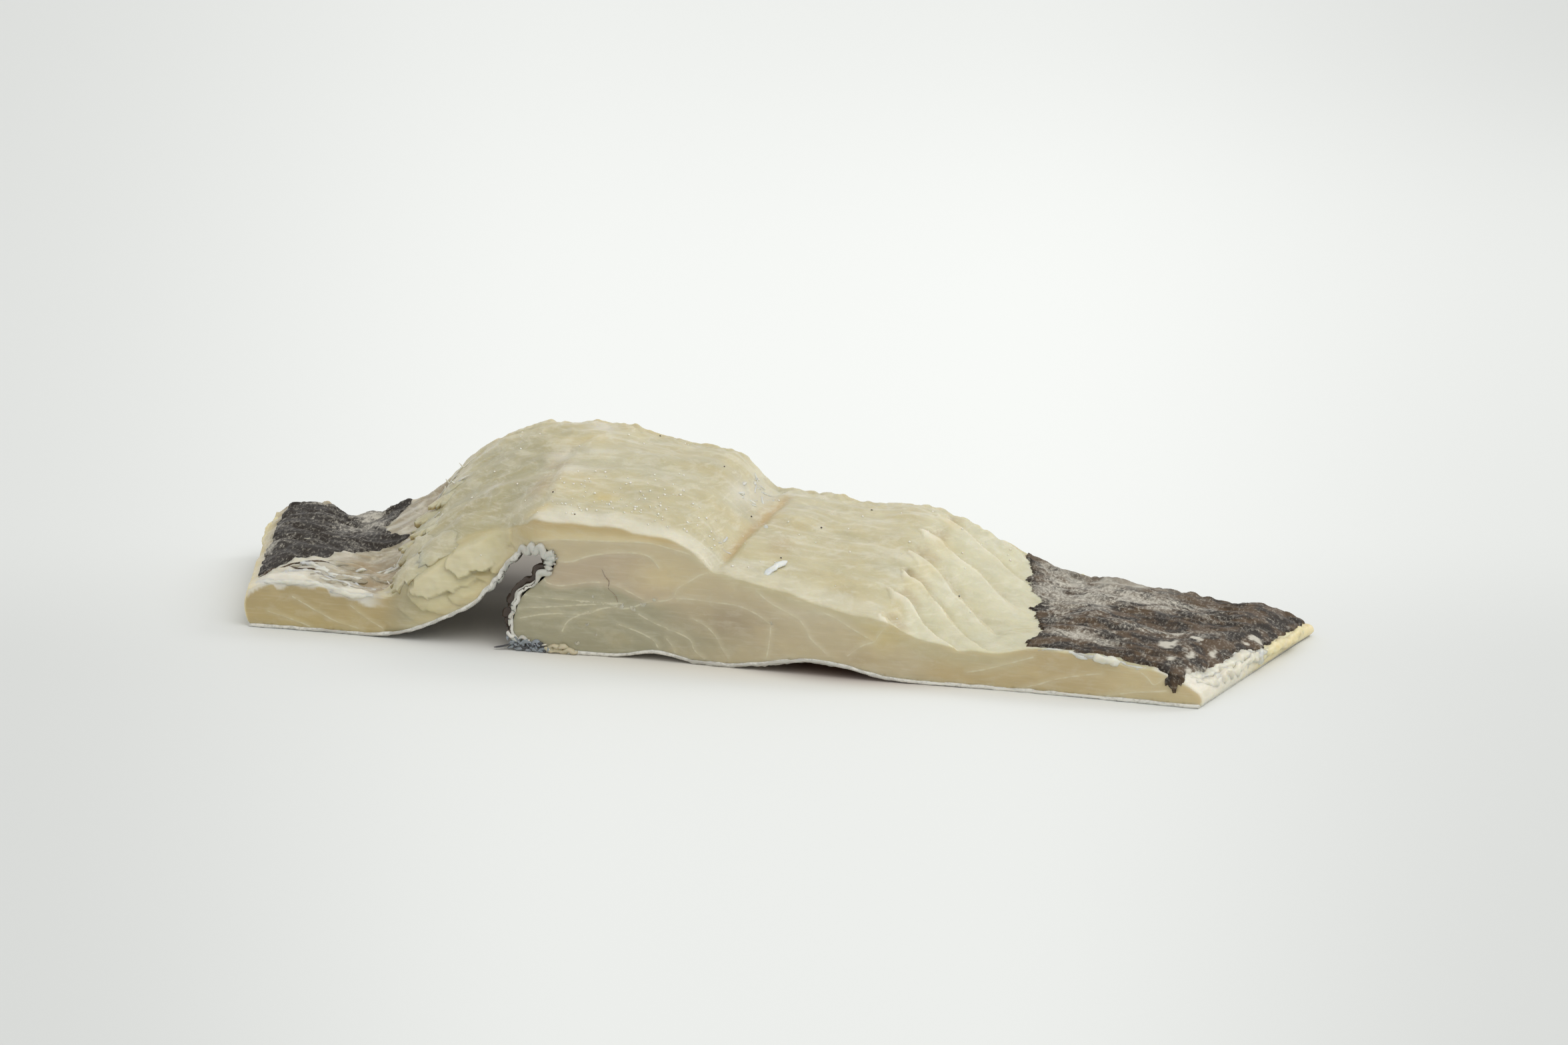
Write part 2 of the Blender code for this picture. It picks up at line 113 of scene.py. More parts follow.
# Where the photograph was taken from in metres, and its turn to the left and downwards in degrees.
VIEW_FROM, VIEW_TURN, VIEW_DOWN = (0.25365, -0.8480, 0.2701), 15.72, 15.0

# The camera's lens and sensor in millimetres.
LENS, SENSOR = 70.0, 36.0

# The room's light, the broad light's way, power and width in degrees, and the box light's place, target,
# size and power.
ROOM_LIGHT = 0.76
SUN_HEADS, SUN_POWER, SUN_WIDTH = (-0.5, 0.18, -0.84), 0.9, 45
BOX_FROM, BOX_AIMS, BOX_SIZE, BOX_POWER = (0.9, 0.75, 0.9), (0.0, 0.0, 0.02), 0.5, 3.0

# How finely the visible surfaces are built, and the part of the front cut that is built twice as finely.
FLESH_STEPS, UNDER_STEPS, END_STEPS, DEPTH_ROWS = 640, 150, 8, 118
CUT_GRID, EDGE_RADIUS, EDGE_ROWS = 0.9, 0.9, 4
SHOULDER_SPAN, SHOULDER_HEIGHTS = (44.0, 88.0), (4, 42)
LEAF_RINGS, LEAF_TURNS, CORD_TURNS, FILM_STEP = 8, 48, 10, 0.55

# How far the flesh is drawn in where the skin covers it.
UNDER_INSET = 0.6

# The belly linings, seen from above as x and y round their edges.
RIGHT_LINING_LEFT = [(240, 1.2), (239, 8), (241, 11), (241, 17), (237, 32), (233, 41), (235, 47), (231, 53)]
RIGHT_LINING_BACK = [(228, 60), (228, 68), (219, 82), (310, 82), (308.5, 68), (305.5, 58), (301, 43)]
RIGHT_LINING_RIGHT = [(296, 34), (291.5, 19), (288.5, 13), (285.5, 8), (284.5, 3), (283.5, -1), (279, -1)]
RIGHT_LINING_RIGHT += [(277, 1.2), (268, 2.5), (256, 1.6)]
RIGHT_LINING = RIGHT_LINING_LEFT + RIGHT_LINING_BACK + RIGHT_LINING_RIGHT
LEFT_LINING_BACK = [(-21, 76), (3, 76.5), (22, 77), (23, 63), (21, 57), (27, 48), (34, 47), (34, 43)]
LEFT_LINING_FRONT = [(26, 40), (20, 31), (16, 23), (9, 16), (0.5, 7), (-6, 26)]
LEFT_LINING = LEFT_LINING_BACK + LEFT_LINING_FRONT

# The part of the flesh that each lining is built over: first and last landmark, and near and far depth share.
RIGHT_LINING_SPAN, LEFT_LINING_SPAN = (20.6, 26.0, 0.008, 0.995), (0.3, 5.5, 0.03, 0.985)

# How deep the linings' edges sink into the flesh, how deep their undersides lie, and how soft the edges are.
FILM_SINK, FILM_BOTTOM, FILM_BLUR = 0.5, 0.9, 0.4

# Loose flakes: how far they follow the flesh down, and how deep their roots sink and their undersides lie.
LEAF_DROOP, LEAF_SINK, LEAF_BELOW = 0.35, 0.8, 0.7

# How high above the floor rays start downwards, how far they reach, and how far before a flake they start.
CAST_FROM, CAST_REACH, LEAF_CAST = 90, 85.0, 30

# How many strands of tissue, tatters of skin and grains of salt there are.
TISSUE_STRANDS, TATTERS, SALT_GRAINS = 34, 46, 170

# Large flakes of the broken shoulder: centre x and z, half length and width, tilt in degrees, and rise.
SHOULDER_FLAKES = [
    ((63.5, 21.0), (12.5, 6.6), 25.0, 2.9),
    ((73.0, 28.0), (12.0, 6.4), 30.0, 3.8),
    ((60.0, 13.5), (9.0, 4.4), -14.0, 1.8),
    ((80.5, 25.5), (5.5, 4.0), 35.0, 2.0),
    ((70.0, 15.5), (5.5, 3.0), 20.0, 1.5),
]

# The way to their free ends, the share of their size that is whole, the share of their rise that is left at
# their roots, the height of their domes, and how ragged and how rough they are.
FLAKE_FREE_END = (-0.75, -0.66)
FLAKE_EDGE, FLAKE_ROOT, FLAKE_DOME, FLAKE_RAGGED, FLAKE_ROUGH = 0.84, 0.2, 0.9, 0.24, 0.35

# Thinner flakes that lap over the shoulder's top: centre, way to the free end, length and width, and lift.
LAPPING_FLAKES = [
    ((52.0, 9.0, 19), (-0.8, -0.35, -0.5), (19, 13), 1.0),
    ((51.0, 19.0, 22), (-0.95, 0.1, -0.35), (15, 11), 0.7),
    ((60.0, 14.0, 25), (-0.8, -0.3, -0.5), (17, 13), 0.6),
]

# Patches of white tissue by the groove: x, y, reach and count of strands.
GROOVE_TISSUE = [(143, 50, 5, 7), (145, 60, 5, 9), (141, 66, 4, 5), (145, 15, 2.5, 3), (153, 33, 3, 3)]

# The right end's rim, seen from above.
RIGHT_RIM = [(286.5, 3), (290.5, 10), (294, 20), (298.5, 34), (303, 48), (307, 60), (309.5, 74)]

# Blobs of white tissue on the front cut: x, z, length and width.
CUT_BLOBS = [(110.2, 17.4, 2.4, 1.2), (108.1, 8.7, 3, 1.2), (111.1, 6, 2, 0.8), (119, 14.6, 4, 2.4)]
CUT_BLOBS += [(125.3, 15.6, 4, 2), (122.4, 14.4, 3, 2), (104.8, 2.6, 3, 1.4), (164.7, 13.8, 2.6, 1.4)]
CUT_BLOBS += [(129, 17.6, 3, 1.4)]

# The white tag by the groove, and the dark spine at the crease's foot.
TAG = [(160.5, 4, 26.6), (162.3, 8, 27.9), (163.8, 11, 28.8), (165.4, 14.5, 29.2)]
SPINE = [(88, -0.3, 2.2), (85.5, -0.9, 1.9), (82.5, -1.6, 1.1), (80, -2.0, 0.7)]

# The hairline crack on the front cut, as x and z.
CUT_CRACK = [(111.9, 28), (113.3, 26.9), (114.3, 24.6), (115.6, 23), (115.3, 21), (117.1, 19.3)]
CUT_CRACK += [(118.3, 16.8)]

# Pale zones of the linings, each as centre and reach.
RIGHT_LINING_PALE = [((240, 60, 14), (9, 14, 12)), ((262, 60, 12), (22, 7, 12)), ((272, 30, 12), (12, 4, 12))]
RIGHT_LINING_PALE += [((242, 40, 12), (6, 12, 12)), ((252, 14, 12), (10, 4, 12)), ((289, 9, 6), (5, 5, 12))]
RIGHT_LINING_PALE += [((250, 52, 12), (12, 8, 12))]
LEFT_LINING_PALE = [((12, 58, 17), (8, 9, 9)), ((-6, 30, 16), (5, 5, 9)), ((8, 72, 17), (7, 3, 9))]

# White spots of the right lining: centre x and y, and radii along x and y.
RIGHT_LINING_SPOTS = [(284, 16, 1.4, 3.6), (289, 23, 1.5, 2.2), (299, 44, 2.8, 2.2), (296, 39, 1.2, 0.9)]
RIGHT_LINING_SPOTS += [(292, 17, 1.6, 1.6), (279, 10, 1.8, 2.6), (277, 20, 3.4, 4), (287, 6, 3, 2.4)]
RIGHT_LINING_SPOTS += [(284, 29, 2, 1)]

# Dark specks on the flesh, seen from above.
SPECKS = [(93, 16), (104, 4), (134, 56), (168, 44), (107, 76), (214, 28), (147, 41), (163, 17), (178, 66)]

# The skin: how finely it is built, and its thickness in general and where it is ruffled.
SKIN_STEPS, SKIN_LENGTH, SKIN_ROWS = 990, 430.0, 56
SKIN_THICK, RIM_THICK = 1.1, 1.7

# The landmarks along the skin where its crease, ruffles, top, right wall and painted brown shade start and
# end.
CREASE_SPAN, RUFFLES_SPAN, TOP_SPAN = (4.0, 17.5), (4.6, 6.5, 13.5, 16.5), (7.0, 8.6, 11.5, 13.0)
RIGHT_WALL_SPAN, CREASE_SHADE_SPAN = (9.6, 11.5, 14.5, 16.0), (9.6, 11.0, 15.3, 16.2)

# The ruffles' pitch and height, and how far and at which depth the right wall flares.
RUFFLE_PITCH, RUFFLE_HEIGHT, FLARE, FLARE_Y = 5.2, 2.7, 2.0, 6


def smoothstep(low, high, x):
    """0 below low, 1 above high, and smooth between them."""
    t = np.clip((np.asarray(x, float) - low) / (high - low), 0.0, 1.0)
    return t * t * (3.0 - 2.0 * t)


def fading(start, end, x):
    """1 below start, 0 above end, and smooth between them."""
    return 1 - smoothstep(start, end, x)


def band(x, start, whole, fades, ends):
    """0 below start, 1 from whole to fades, and 0 above ends."""
    return smoothstep(start, whole, x) * fading(fades, ends, x)


def shingle(t, climb):
    """Climbs from 0 to 1 over this share of each unit of t, then falls back to 0 over the rest."""
    share = t - np.floor(t)
    return np.minimum(share / climb, (1 - share) / (1 - climb))


def bump(distance, width):
    """A smooth bell of height 1, which reaches about this far to each side."""
    return np.exp(-((np.asarray(distance, float) / width) ** 2))


def hashed(cell, seed):
    """A steady random number from 0 to 1 for each whole-number cell."""
    n = cell[..., 0] * 374761393 + cell[..., 1] * 668265263 + cell[..., 2] * 2147483647 + seed * 144665
    n = (n ^ (n >> 13)) & 0xFFFFFFFF
    n = (n * 1274126177) & 0xFFFFFFFF
    n = (n ^ (n >> 16)) & 0xFFFFFFFF
    return n / 0xFFFFFFFF


def soft_noise(points, seed=0):
    """Smooth noise between -1 and 1 at points measured in its own cells."""
    points = np.asarray(points, float)
    whole = np.floor(points).astype(np.int64)
    t = points - whole
    t = t * t * t * (t * (6 * t - 15) + 10)
    total = 0.0
    for corner in np.ndindex(2, 2, 2):
        weight = np.prod(np.where(np.array(corner) == 1, t, 1 - t), axis=-1)
        total = total + weight * hashed(whole + np.array(corner), seed)
    return 2 * total - 1


def layered_noise(points, layers, seed=0):
    """Several layers of soft noise, each twice as fine and half as strong."""
    points = np.asarray(points, float)
    total = sum(0.5**k * soft_noise(points * 2**k, seed + 7 * k) for k in range(layers))
    return total / (2 - 0.5 ** (layers - 1))


def stack(*parts):
    """Numbers of one shape as points."""
    return np.stack(np.broadcast_arrays(*[np.asarray(p, float) for p in parts]), axis=-1)


def curve_through(points, at):
    """Catmull-Rom curve through points, read at parameters counted in points."""
    p = np.vstack([2 * points[0] - points[1], points, 2 * points[-1] - points[-2]])
    i = np.clip(np.floor(at).astype(int), 0, len(points) - 2)
    t = (at - i)[:, None]
    a, b, c, d = p[i], p[i + 1], p[i + 2], p[i + 3]
    return 0.5 * (2 * b + (c - a) * t + (2 * a - 5 * b + 4 * c - d) * t**2 + (3 * b - a - 3 * c + d) * t**3)


def spread(landmarks, steps):
    """Parameters that step evenly along the landmarks' mean length."""
    rows = np.array(landmarks, float)
    fine = np.linspace(0, len(rows) - 1, 40 * len(rows))
    both = [curve_through(rows[:, side : side + 2], fine) for side in (0, 2)]
    length = sum(np.linalg.norm(np.diff(line, axis=0), axis=1) for line in both)
    total = np.concatenate([[0.0], np.cumsum(length)])
    return np.interp(np.linspace(0.0, total[-1], steps + 1), total, fine)


def outline(landmarks, at, v):
    """The landmarks' curve at depth share v, 0 at the front cut and 1 at the back one."""
    rows = np.array(landmarks, float)
    return (1 - v) * curve_through(rows[:, :2], at) + v * curve_through(rows[:, 2:], at)


def wave(size, at):
    """A sine of the given height and length."""
    height, length = size
    return height * np.sin(at / length)


def left_of_crease(x, z):
    """How far left of the middle of the crease's opening a point of the front cut lies."""
    return np.interp(z, CREASE_MIDDLE_Z, CREASE_MIDDLE_X) - x


def shoulder_share(x, z):
    """1 where the front of the left loin is broken back, 0 where the cut is clean."""
    along = band(x, *BREAK_SPAN)
    return along * smoothstep(-CREASE_MIDDLE_BLUR, CREASE_MIDDLE_BLUR, left_of_crease(x, z))


def height_of(landmarks, x):
    """The height of some landmarks' front outline at x."""
    xs, zs = np.array(landmarks).T[:2]
    return np.interp(x, xs, zs)


def clear_of_edges(x, z, to_top, to_skin):
    """1 well inside the shoulder's front, fading out over these heights to its top and to the skin."""
    below_top = height_of(LEFT_SHOULDER + LEFT_LOIN, x) - z
    above_skin = z - height_of(UNDER_SHOULDER, x)
    return smoothstep(0, to_top, below_top) * smoothstep(0, to_skin, above_skin)


def petals(x, z):
    """How far the petals stand forward of the broken front."""
    up = PETAL_UP[0] * x + PETAL_UP[1] * z
    along = PETAL_ALONG[0] * x + PETAL_ALONG[1] * z
    rise = (up + wave(PETAL_WAVE, along) - PETAL_FIRST) / PETAL_PITCH
    shown = clear_of_edges(x, z, PETAL_BELOW_TOP, PETAL_ABOVE_SKIN)
    return PETAL_STEP * shingle(rise, PETAL_CLIMB) * shown * shoulder_share(x, z)


def shoulder_flakes(x, z):
    """How far the large flakes stand forward, thick at their free ends and sinking in at their roots."""
    x, z = np.asarray(x, float), np.asarray(z, float)
    standing = np.zeros(np.broadcast(x, z).shape)
    for number, (centre, size, tilt, rise) in enumerate(SHOULDER_FLAKES):
        right, up = x - centre[0], z - centre[1]
        turn = math.radians(tilt)
        along = right * math.cos(turn) + up * math.sin(turn)
        across = up * math.cos(turn) - right * math.sin(turn)
        ragged = FLAKE_RAGGED * layered_noise(stack(x / 3.8, number + 0.5, z / 3.8), 3, 90)
        away = np.hypot(along / size[0], across / size[1]) + ragged
        towards = right / size[0] * FLAKE_FREE_END[0] + up / size[1] * FLAKE_FREE_END[1]
        thick = FLAKE_ROOT + (1 - FLAKE_ROOT) * smoothstep(-0.9, 0.7, towards)
        dome = FLAKE_DOME * np.clip(1 - away * away, 0, 1)
        rough = FLAKE_ROUGH * layered_noise(stack(x / 3.0, number + 4.5, z / 2.2), 2, 94)
        height = (rise * thick + dome + rough) * smoothstep(1.0, FLAKE_EDGE, away)
        standing = np.maximum(standing, height)
    shown = clear_of_edges(x, z, 0.3 * PETAL_BELOW_TOP, 0.6 * PETAL_ABOVE_SKIN)
    return standing * shown * smoothstep(0, 3, left_of_crease(x, z)) * smoothstep(42, 46, x)


def standing_forward(x, z):
    """How far the petals or the large flakes stand forward, whichever is more."""
    return np.maximum(PETAL_SHARE * petals(x, z), shoulder_flakes(x, z))


def clean_front_y(x, z):
    """Where the front cut lies, sloping back over the broken left shoulder."""
    return BREAK_DEPTH * shoulder_share(x, z) * smoothstep(BREAK_FOOT_Z, BREAK_TOP_Z, z) + wave(FRONT_WAVE, x)


def front_y(x, z):
    """Where the front face lies, petals and all."""
    return clean_front_y(x, z) - standing_forward(x, z)


def back_y(x, z):
    """Where the back cut lies, the same at every height."""
    return DEPTH + wave(BACK_WAVE, x + BACK_WAVE[1]) + 0 * z


def depth_y(x, z, v):
    """How far back a point of the section at depth share v lies."""
    near = clean_front_y(x, z)
    return near + (back_y(x, z) - near) * v - standing_forward(x, z) * (1 - v) ** PETAL_FADE_POWER


def torn_edge_x(y):
    """Where along x the left loin's torn edge lies at depth y."""
    teeth = 1 - 2 * shingle((y - TOOTH_FIRST) / TOOTH_PITCH, 0.5)
    return EDGE_X - EDGE_TEETH * teeth - EDGE_SETBACK * smoothstep(0.6 * DEPTH, DEPTH, y)


def edge_relief(x, y):
    """The loin's torn edge, standing over the flap along a line of teeth."""
    edge = torn_edge_x(y)
    step = smoothstep(edge - EDGE_BLUR, edge + EDGE_BLUR, x)
    raised = step * fading(edge + EDGE_REACH_UP[0], edge + EDGE_REACH_UP[1], x)
    sunk = (1 - step) * smoothstep(edge - EDGE_REACH_DOWN[0], edge - EDGE_REACH_DOWN[1], x)
    near_cuts = band(y / DEPTH, *EDGE_SPAN)
    return EDGE_STEP * (EDGE_RAISED * raised - (1 - EDGE_RAISED) * sunk) * near_cuts


def fold_line_x(y):
    """Where along x the fold on the left loin's crest lies."""
    return FOLD_X + wave(FOLD_WAVE, y)


def fold_relief(x, y):
    """A shallow fold along the loin's crest, its left side lower, which fades out towards the back."""
    line = fold_line_x(y)
    left_side = fading(line - FOLD_BLUR, line + FOLD_BLUR, x) * smoothstep(*FOLD_FADE_X, x)
    return -FOLD_STEP * left_side * fading(*FOLD_FADES, y / DEPTH)


def groove_line_x(y):
    """Where along x the groove's bottom lies."""
    return GROOVE_X + GROOVE_DRIFT * y


def groove_relief(x, y):
    """The narrow groove that the backbone left, running out before the back cut."""
    near_cuts = band(y / DEPTH, *GROOVE_SPAN)
    return -GROOVE_DEPTH * near_cuts * bump(x - groove_line_x(y), GROOVE_HALF_WIDTH)


def slope_phase(x, y):
    """Counts the flakes across the right slope, whole at each crest."""
    slant = FLAKE_SLANT[0] + (FLAKE_SLANT[1] - FLAKE_SLANT[0]) * smoothstep(0, 60, y)
    across = y + slant * (x - FLAKE_X) + wave(FLAKE_WAVE, x)
    across = across + 1.6 * layered_noise(stack(x / 7.0, y / 9.0, 18.0), 2, 57)
    return np.interp(across, FLAKE_CRESTS, np.arange(len(FLAKE_CRESTS)))


def plateau_edge_x(x, y):
    """Where along x the right loin's level top breaks off into the slope's flakes."""
    share = slope_phase(x, y) % 1.0
    ragged = 2.5 * layered_noise(stack(x / 5.0, y / 4.0, 19.0), 2, 58)
    return FLAKE_X - 1.5 + FLAKE_ZIGZAG * np.minimum(share, 1 - share) * 2 + ragged


def slope_relief(x, y):
    """Flakes on the right slope, scooped out between crests that drop behind."""
    flake = shingle(slope_phase(x, y) + FLAKE_CLIMB, FLAKE_CLIMB)
    edge = plateau_edge_x(x, y)
    shown = smoothstep(edge - 0.7, edge + 0.9, x) * fading(*FLAKES_END, x)
    near_cuts = band(y / DEPTH, *SLOPE_SPAN)
    return FLAKE_STEP * ((flake - 1) ** 3 * 0.5 + (flake - 1) * 0.5 + 0.3) * shown * near_cuts


def lumps(size, x, y):
    """Soft lumps of one size."""
    height, length, breadth = size
    return np.array([height * noise.noise((a / length, b / breadth, height)) for a, b in zip(x, y)])


def crown(x, z, v):
    """How far the flesh swells between its two cuts, soonest behind the broken shoulder."""
    swell = FLAP_SWELL + LOIN_SWELL * band(x, *LOINS_SPAN)
    rounded = BREAK_ROUND * shoulder_share(x, z) * (1 - np.exp(-v / BREAK_ROUND_DEPTH)) * (1 - v)
    return swell * 4 * v * (1 - v) + rounded


def grain_relief(x, y):
    """Fine relief that the solid leaves out: fibres and grains of dried flesh, finer on the loins."""
    bend = 5 * soft_noise(stack(x / 30.0, y / 14.0, 6.0), 13)
    fibres = layered_noise(stack(x / 9.0, (y + bend) / 2.6, 0.0), 2, 11)
    grains = layered_noise(stack(x / 3.4, y / 3.0, 3.0), 2, 23)
    folds = 1 - 2 * np.abs(layered_noise(stack(x / 13.0, (y + 2 * bend) / 6.0, 9.0), 2, 31))
    on_flap = 1 - smoothstep(torn_edge_x(y) - 3, torn_edge_x(y) + 1, x) * fading(226, 236, x)
    on_left = on_flap * (x < 120)
    rough_back = smoothstep(0.86 * DEPTH, 0.97 * DEPTH, y)
    crumbled = layered_noise(stack(x / 2.6, y / 2.6, 17.0), 2, 37)
    torn = band(x, 46, 56, 80, 92)
    layers = 1 - 2 * np.abs(soft_noise(stack(x / 11.0, (y + 2 * bend) / 5.0, 29.0), 33))
    scooped = -1.3 * bump(x - 108, 5) * bump(y - 76, 7) + 0.7 * bump(x - 98, 6) * bump(y - 77, 6)
    lumpy = soft_noise(stack(x / 9.0, (y + bend) / 6.5, 21.0), 39)
    relief = 0.05 * fibres + 0.1 * grains * (1 - torn) + 0.6 * lumpy + 0.5 * on_flap * fibres
    relief = relief + torn * (0.6 * layers + 0.15 * grains) + 0.9 * on_left * (folds - 0.4)
    return relief + 0.8 * rough_back * crumbled + scooped


def flesh_line(at, v):
    """Points of the flesh's top at these parameters and one depth share, as x, y and z."""
    flesh = outline(FLESH, at, v)
    x, z = flesh.T.copy()
    y = depth_y(x, z, v)
    z = z + crown(x, z, v) + lumps(LARGE_LUMPS, x, y) + lumps(SMALL_LUMPS, x, y)
    z = z + edge_relief(x, y) + fold_relief(x, y) + groove_relief(x, y) + slope_relief(x, y)
    z = z + grain_relief(x, y)
    return stack(x, y, z)


def end_cap(low, high, bulge):
    """Points between the skin's end and the flesh's end, swelling outwards."""
    t = np.linspace(0.0, 1.0, END_STEPS + 1)[1:-1, None]
    points = low + (high - low) * t
    points[:, 0] += bulge * np.sin(math.pi * t[:, 0])
    return points


def section(v, skin_at, flesh_at):
    """One closed section of the slab at depth share v, as x and z: skin, right end, flesh, left end."""
    skin = outline(SKIN, skin_at, v)
    skin[:, 1] = np.maximum(skin[:, 1], 0.0)
    flesh = flesh_line(flesh_at, v)[:, [0, 2]]
    right = end_cap(skin[-1], flesh[-1], RIGHT_END_BULGE)
    left = end_cap(skin[0], flesh[0], LEFT_END_BULGE)[::-1]
    return np.vstack([skin, right, flesh[::-1], left])


def inward(loop, passes):
    """Unit vectors that point into a closed loop, smoothed along it."""
    tangent = np.roll(loop, -1, axis=0) - np.roll(loop, 1, axis=0)
    normal = np.column_stack([-tangent[:, 1], tangent[:, 0]])
    for _ in range(passes):
        normal = (np.roll(normal, 1, axis=0) + normal + np.roll(normal, -1, axis=0)) / 3
    return normal / (np.linalg.norm(normal, axis=1)[:, None] + 1e-9)


def depth_rows():
    """Each row of the lofted slab, as its depth share and how far its cut edge is drawn in."""
    turns = np.linspace(0.0, math.pi / 2, EDGE_ROWS + 1)
    share = EDGE_RADIUS / DEPTH
    near = [(share * (1 - math.cos(t)), EDGE_RADIUS * (1 - math.sin(t))) for t in turns]
    middle = [(v, 0.0) for v in np.linspace(share, 1 - share, DEPTH_ROWS)[1:-1]]
    far = [(1 - v, inset) for v, inset in near[::-1]]
    return near + middle + far


def inside(points, loop):
    """Which points lie inside a closed loop in the plane."""
    x, z = points[:, 0:1], points[:, 1:2]
    x0, z0 = loop[:, 0], loop[:, 1]
    x1, z1 = np.roll(x0, -1), np.roll(z0, -1)
    climb = np.where(z1 == z0, 1.0, z1 - z0)
    crosses = ((z0 > z) != (z1 > z)) & (x < x0 + (z - z0) * (x1 - x0) / climb)
    return crosses.sum(axis=1) % 2 == 1


def distance_to_lines(points, lines):
    """How far each point in the plane lies from the nearest of these lines."""
    nearest = np.full(len(points), 1e3)
    for line in lines:
        for a, b in zip(line, line[1:]):
            side = b - a
            t = np.clip(((points - a) @ side) / (side @ side), 0, 1)
            nearest = np.minimum(nearest, np.linalg.norm(points - a - t[:, None] * side, axis=1))
    return nearest


def well_inside(points, loop, gap):
    """The points that lie inside a loop, at least this far from its edge."""
    kept = []
    for part in np.array_split(points, max(1, len(points) // 1500)):
        part = part[inside(part, loop)]
        nearest = np.linalg.norm(part[:, None, :] - loop[None, :, :], axis=2).min(axis=1)
        kept.append(part[nearest > gap])
    return np.vstack(kept)


def smooth_line(points, step):
    """A curve through a few points, in steps of about this length."""
    points = np.array(points, float)
    length = np.linalg.norm(np.diff(points, axis=0), axis=1).sum()
    return curve_through(points, np.linspace(0, len(points) - 1, max(3, int(length / step))))


def edge_line(first, last, y, sway, length):
    """A wavy line along the front cut's top edge, seen from above."""
    return [(x, y + sway * math.sin(x / length)) for x in np.linspace(first, last, 22)]


# Seams of white tissue between the flakes of the front cut, each as x and z from its left end.
LEFT_LOIN_SEAMS = [
    [(92, 33.4), (98.8, 34.7), (113, 35.2), (126.6, 35.6), (133.3, 34.6), (140.1, 33.1), (144.2, 30.6)],
    [(100.5, 28), (104.5, 28.5), (109.2, 30.3), (115.1, 31.6), (122.4, 32.3), (127.6, 31.7), (130.9, 28.4)],
    [(95.5, 22.8), (96.9, 21.4), (100.5, 20.8), (105.2, 21.6), (111, 22.6), (116.9, 22.2), (125.8, 18.5)],
    [(88.9, 17.4), (93.7, 16.8), (101.2, 16.7), (114.8, 16.5), (119.5, 16.7)],
    [(87.3, 13), (93.6, 13.7), (101.1, 14.6), (109, 15.6), (117.9, 16.2)],
    [(88, 10), (95.2, 11.7), (103, 12.4), (108.9, 12.8), (112.8, 14.5), (117.9, 15.6)],
    [(101, 7), (103, 10.3), (108.9, 13.4), (114.8, 15.2)],
]
MIDDLE_SEAMS = [
    [(117.9, 14.9), (122.2, 15.6), (126.5, 17.4), (130.4, 18.1), (134.8, 19.4), (136.5, 22.5), (140, 24.9)],
    [(140, 24.9), (143.9, 27.4), (147.6, 28.2), (151.8, 27.8)],
    [(124.5, 13.8), (128.4, 11.8), (133, 10.2)],
    [(118.6, 10.2), (124.5, 8.3), (128.7, 6.3), (130.3, 4.1)],
    [(133, 6.9), (134.7, 4.9), (135.5, 3)],
    [(133, 9.9), (136.8, 8.9), (140.3, 7.1), (141.5, 4.2), (144.5, 1.9)],
    [(140.8, 13.9), (145, 11.8), (148, 9.1), (149.7, 5.8), (151.8, 2.6)],
]
RIGHT_LOIN_SEAMS = [
    [(135.7, 19.5), (141.7, 19.6), (148.1, 19.3), (154.5, 19), (158.8, 17.7), (162.2, 15.9), (164.7, 14.2)],
    [(164.7, 14.2), (164.5, 9.7), (163.8, 5.4), (163.2, 3.4)],
    [(160.5, 23.7), (164.7, 20.7), (169.8, 18.3), (173.2, 16.5), (175.3, 14.1), (177, 10.9), (181.6, 6.7)],
    [(170.6, 22.5), (175.7, 21.3), (180.7, 19.2), (184.9, 17.5), (189.5, 14.9), (195.7, 11.6)],
    [(195.7, 11.6), (197.7, 14.7), (199.6, 17.2)],
    [(195.7, 11.6), (192, 10.1), (187.8, 6.8)],
]
FLAP_SEAMS = [
    [(237.4, 0.8), (243.2, 2.7), (249, 5), (255.5, 6.5), (261.3, 7.5)],
    [(263, 1.2), (270.2, 2.9), (279.8, 4.4)],
    [(222.6, 4.6), (228.1, 6), (233.5, 7.8), (239, 9.7), (241.5, 10.6)],
    [(270.1, 10), (273.8, 8.1), (276.3, 5.8), (279, 8)],
    [(6.3, 5.3), (13.6, 3.4), (19.8, 1.5)],
    [(14.6, 10.4), (21.3, 7), (28, 4), (37.3, 1.8)],
    [(33.2, 9.2), (38.7, 5.5), (43.6, 2.9)],
]
SEAMS = LEFT_LOIN_SEAMS + MIDDLE_SEAMS + RIGHT_LOIN_SEAMS + FLAP_SEAMS

# The steps along a seam, its rows of points, and how far it keeps from other points and from the cut's edge.
SEAM_STEP, SEAM_ROWS, SEAM_CLEAR, SEAM_TO_EDGE = 0.7, (-0.35, 0.0, 0.35), 0.7, 0.3

# The distance that is given to points away from any seam.
NO_SEAM = 9.0

# Colours as the eye sees them, in sRGB from 0 to 255.
TOP_CREAM = (191, 182, 145)
TOP_GREY = (187, 182, 154)
TOP_EDGE = (213, 208, 186)
TOP_WARM = (191, 176, 132)
TOP_SHADE = (162, 155, 119)
LIT_SLOPE_PALE = (205, 202, 172)
CUT_UPPER = (208, 192, 148)
CUT_EDGE = (190, 170, 122)
CUT_MIDDLE = (194, 180, 146)
CUT_PINK = (187, 171, 143)
CUT_PALE = (198, 187, 158)
CUT_GREY = (164, 158, 130)
CUT_CENTRE = (168, 152, 124)
FLAP_CUT = (189, 170, 127)
FLAP_CUT_LEFT = (180, 161, 115)
SHOULDER_PALE = (195, 186, 146)
SHOULDER_TOP = (182, 174, 140)
FLAP_TISSUE = (153, 142, 118)
FAT_WHITE = (216, 211, 195)
RIM_YELLOW = (220, 205, 158)
RIM_WHITE = (217, 211, 192)
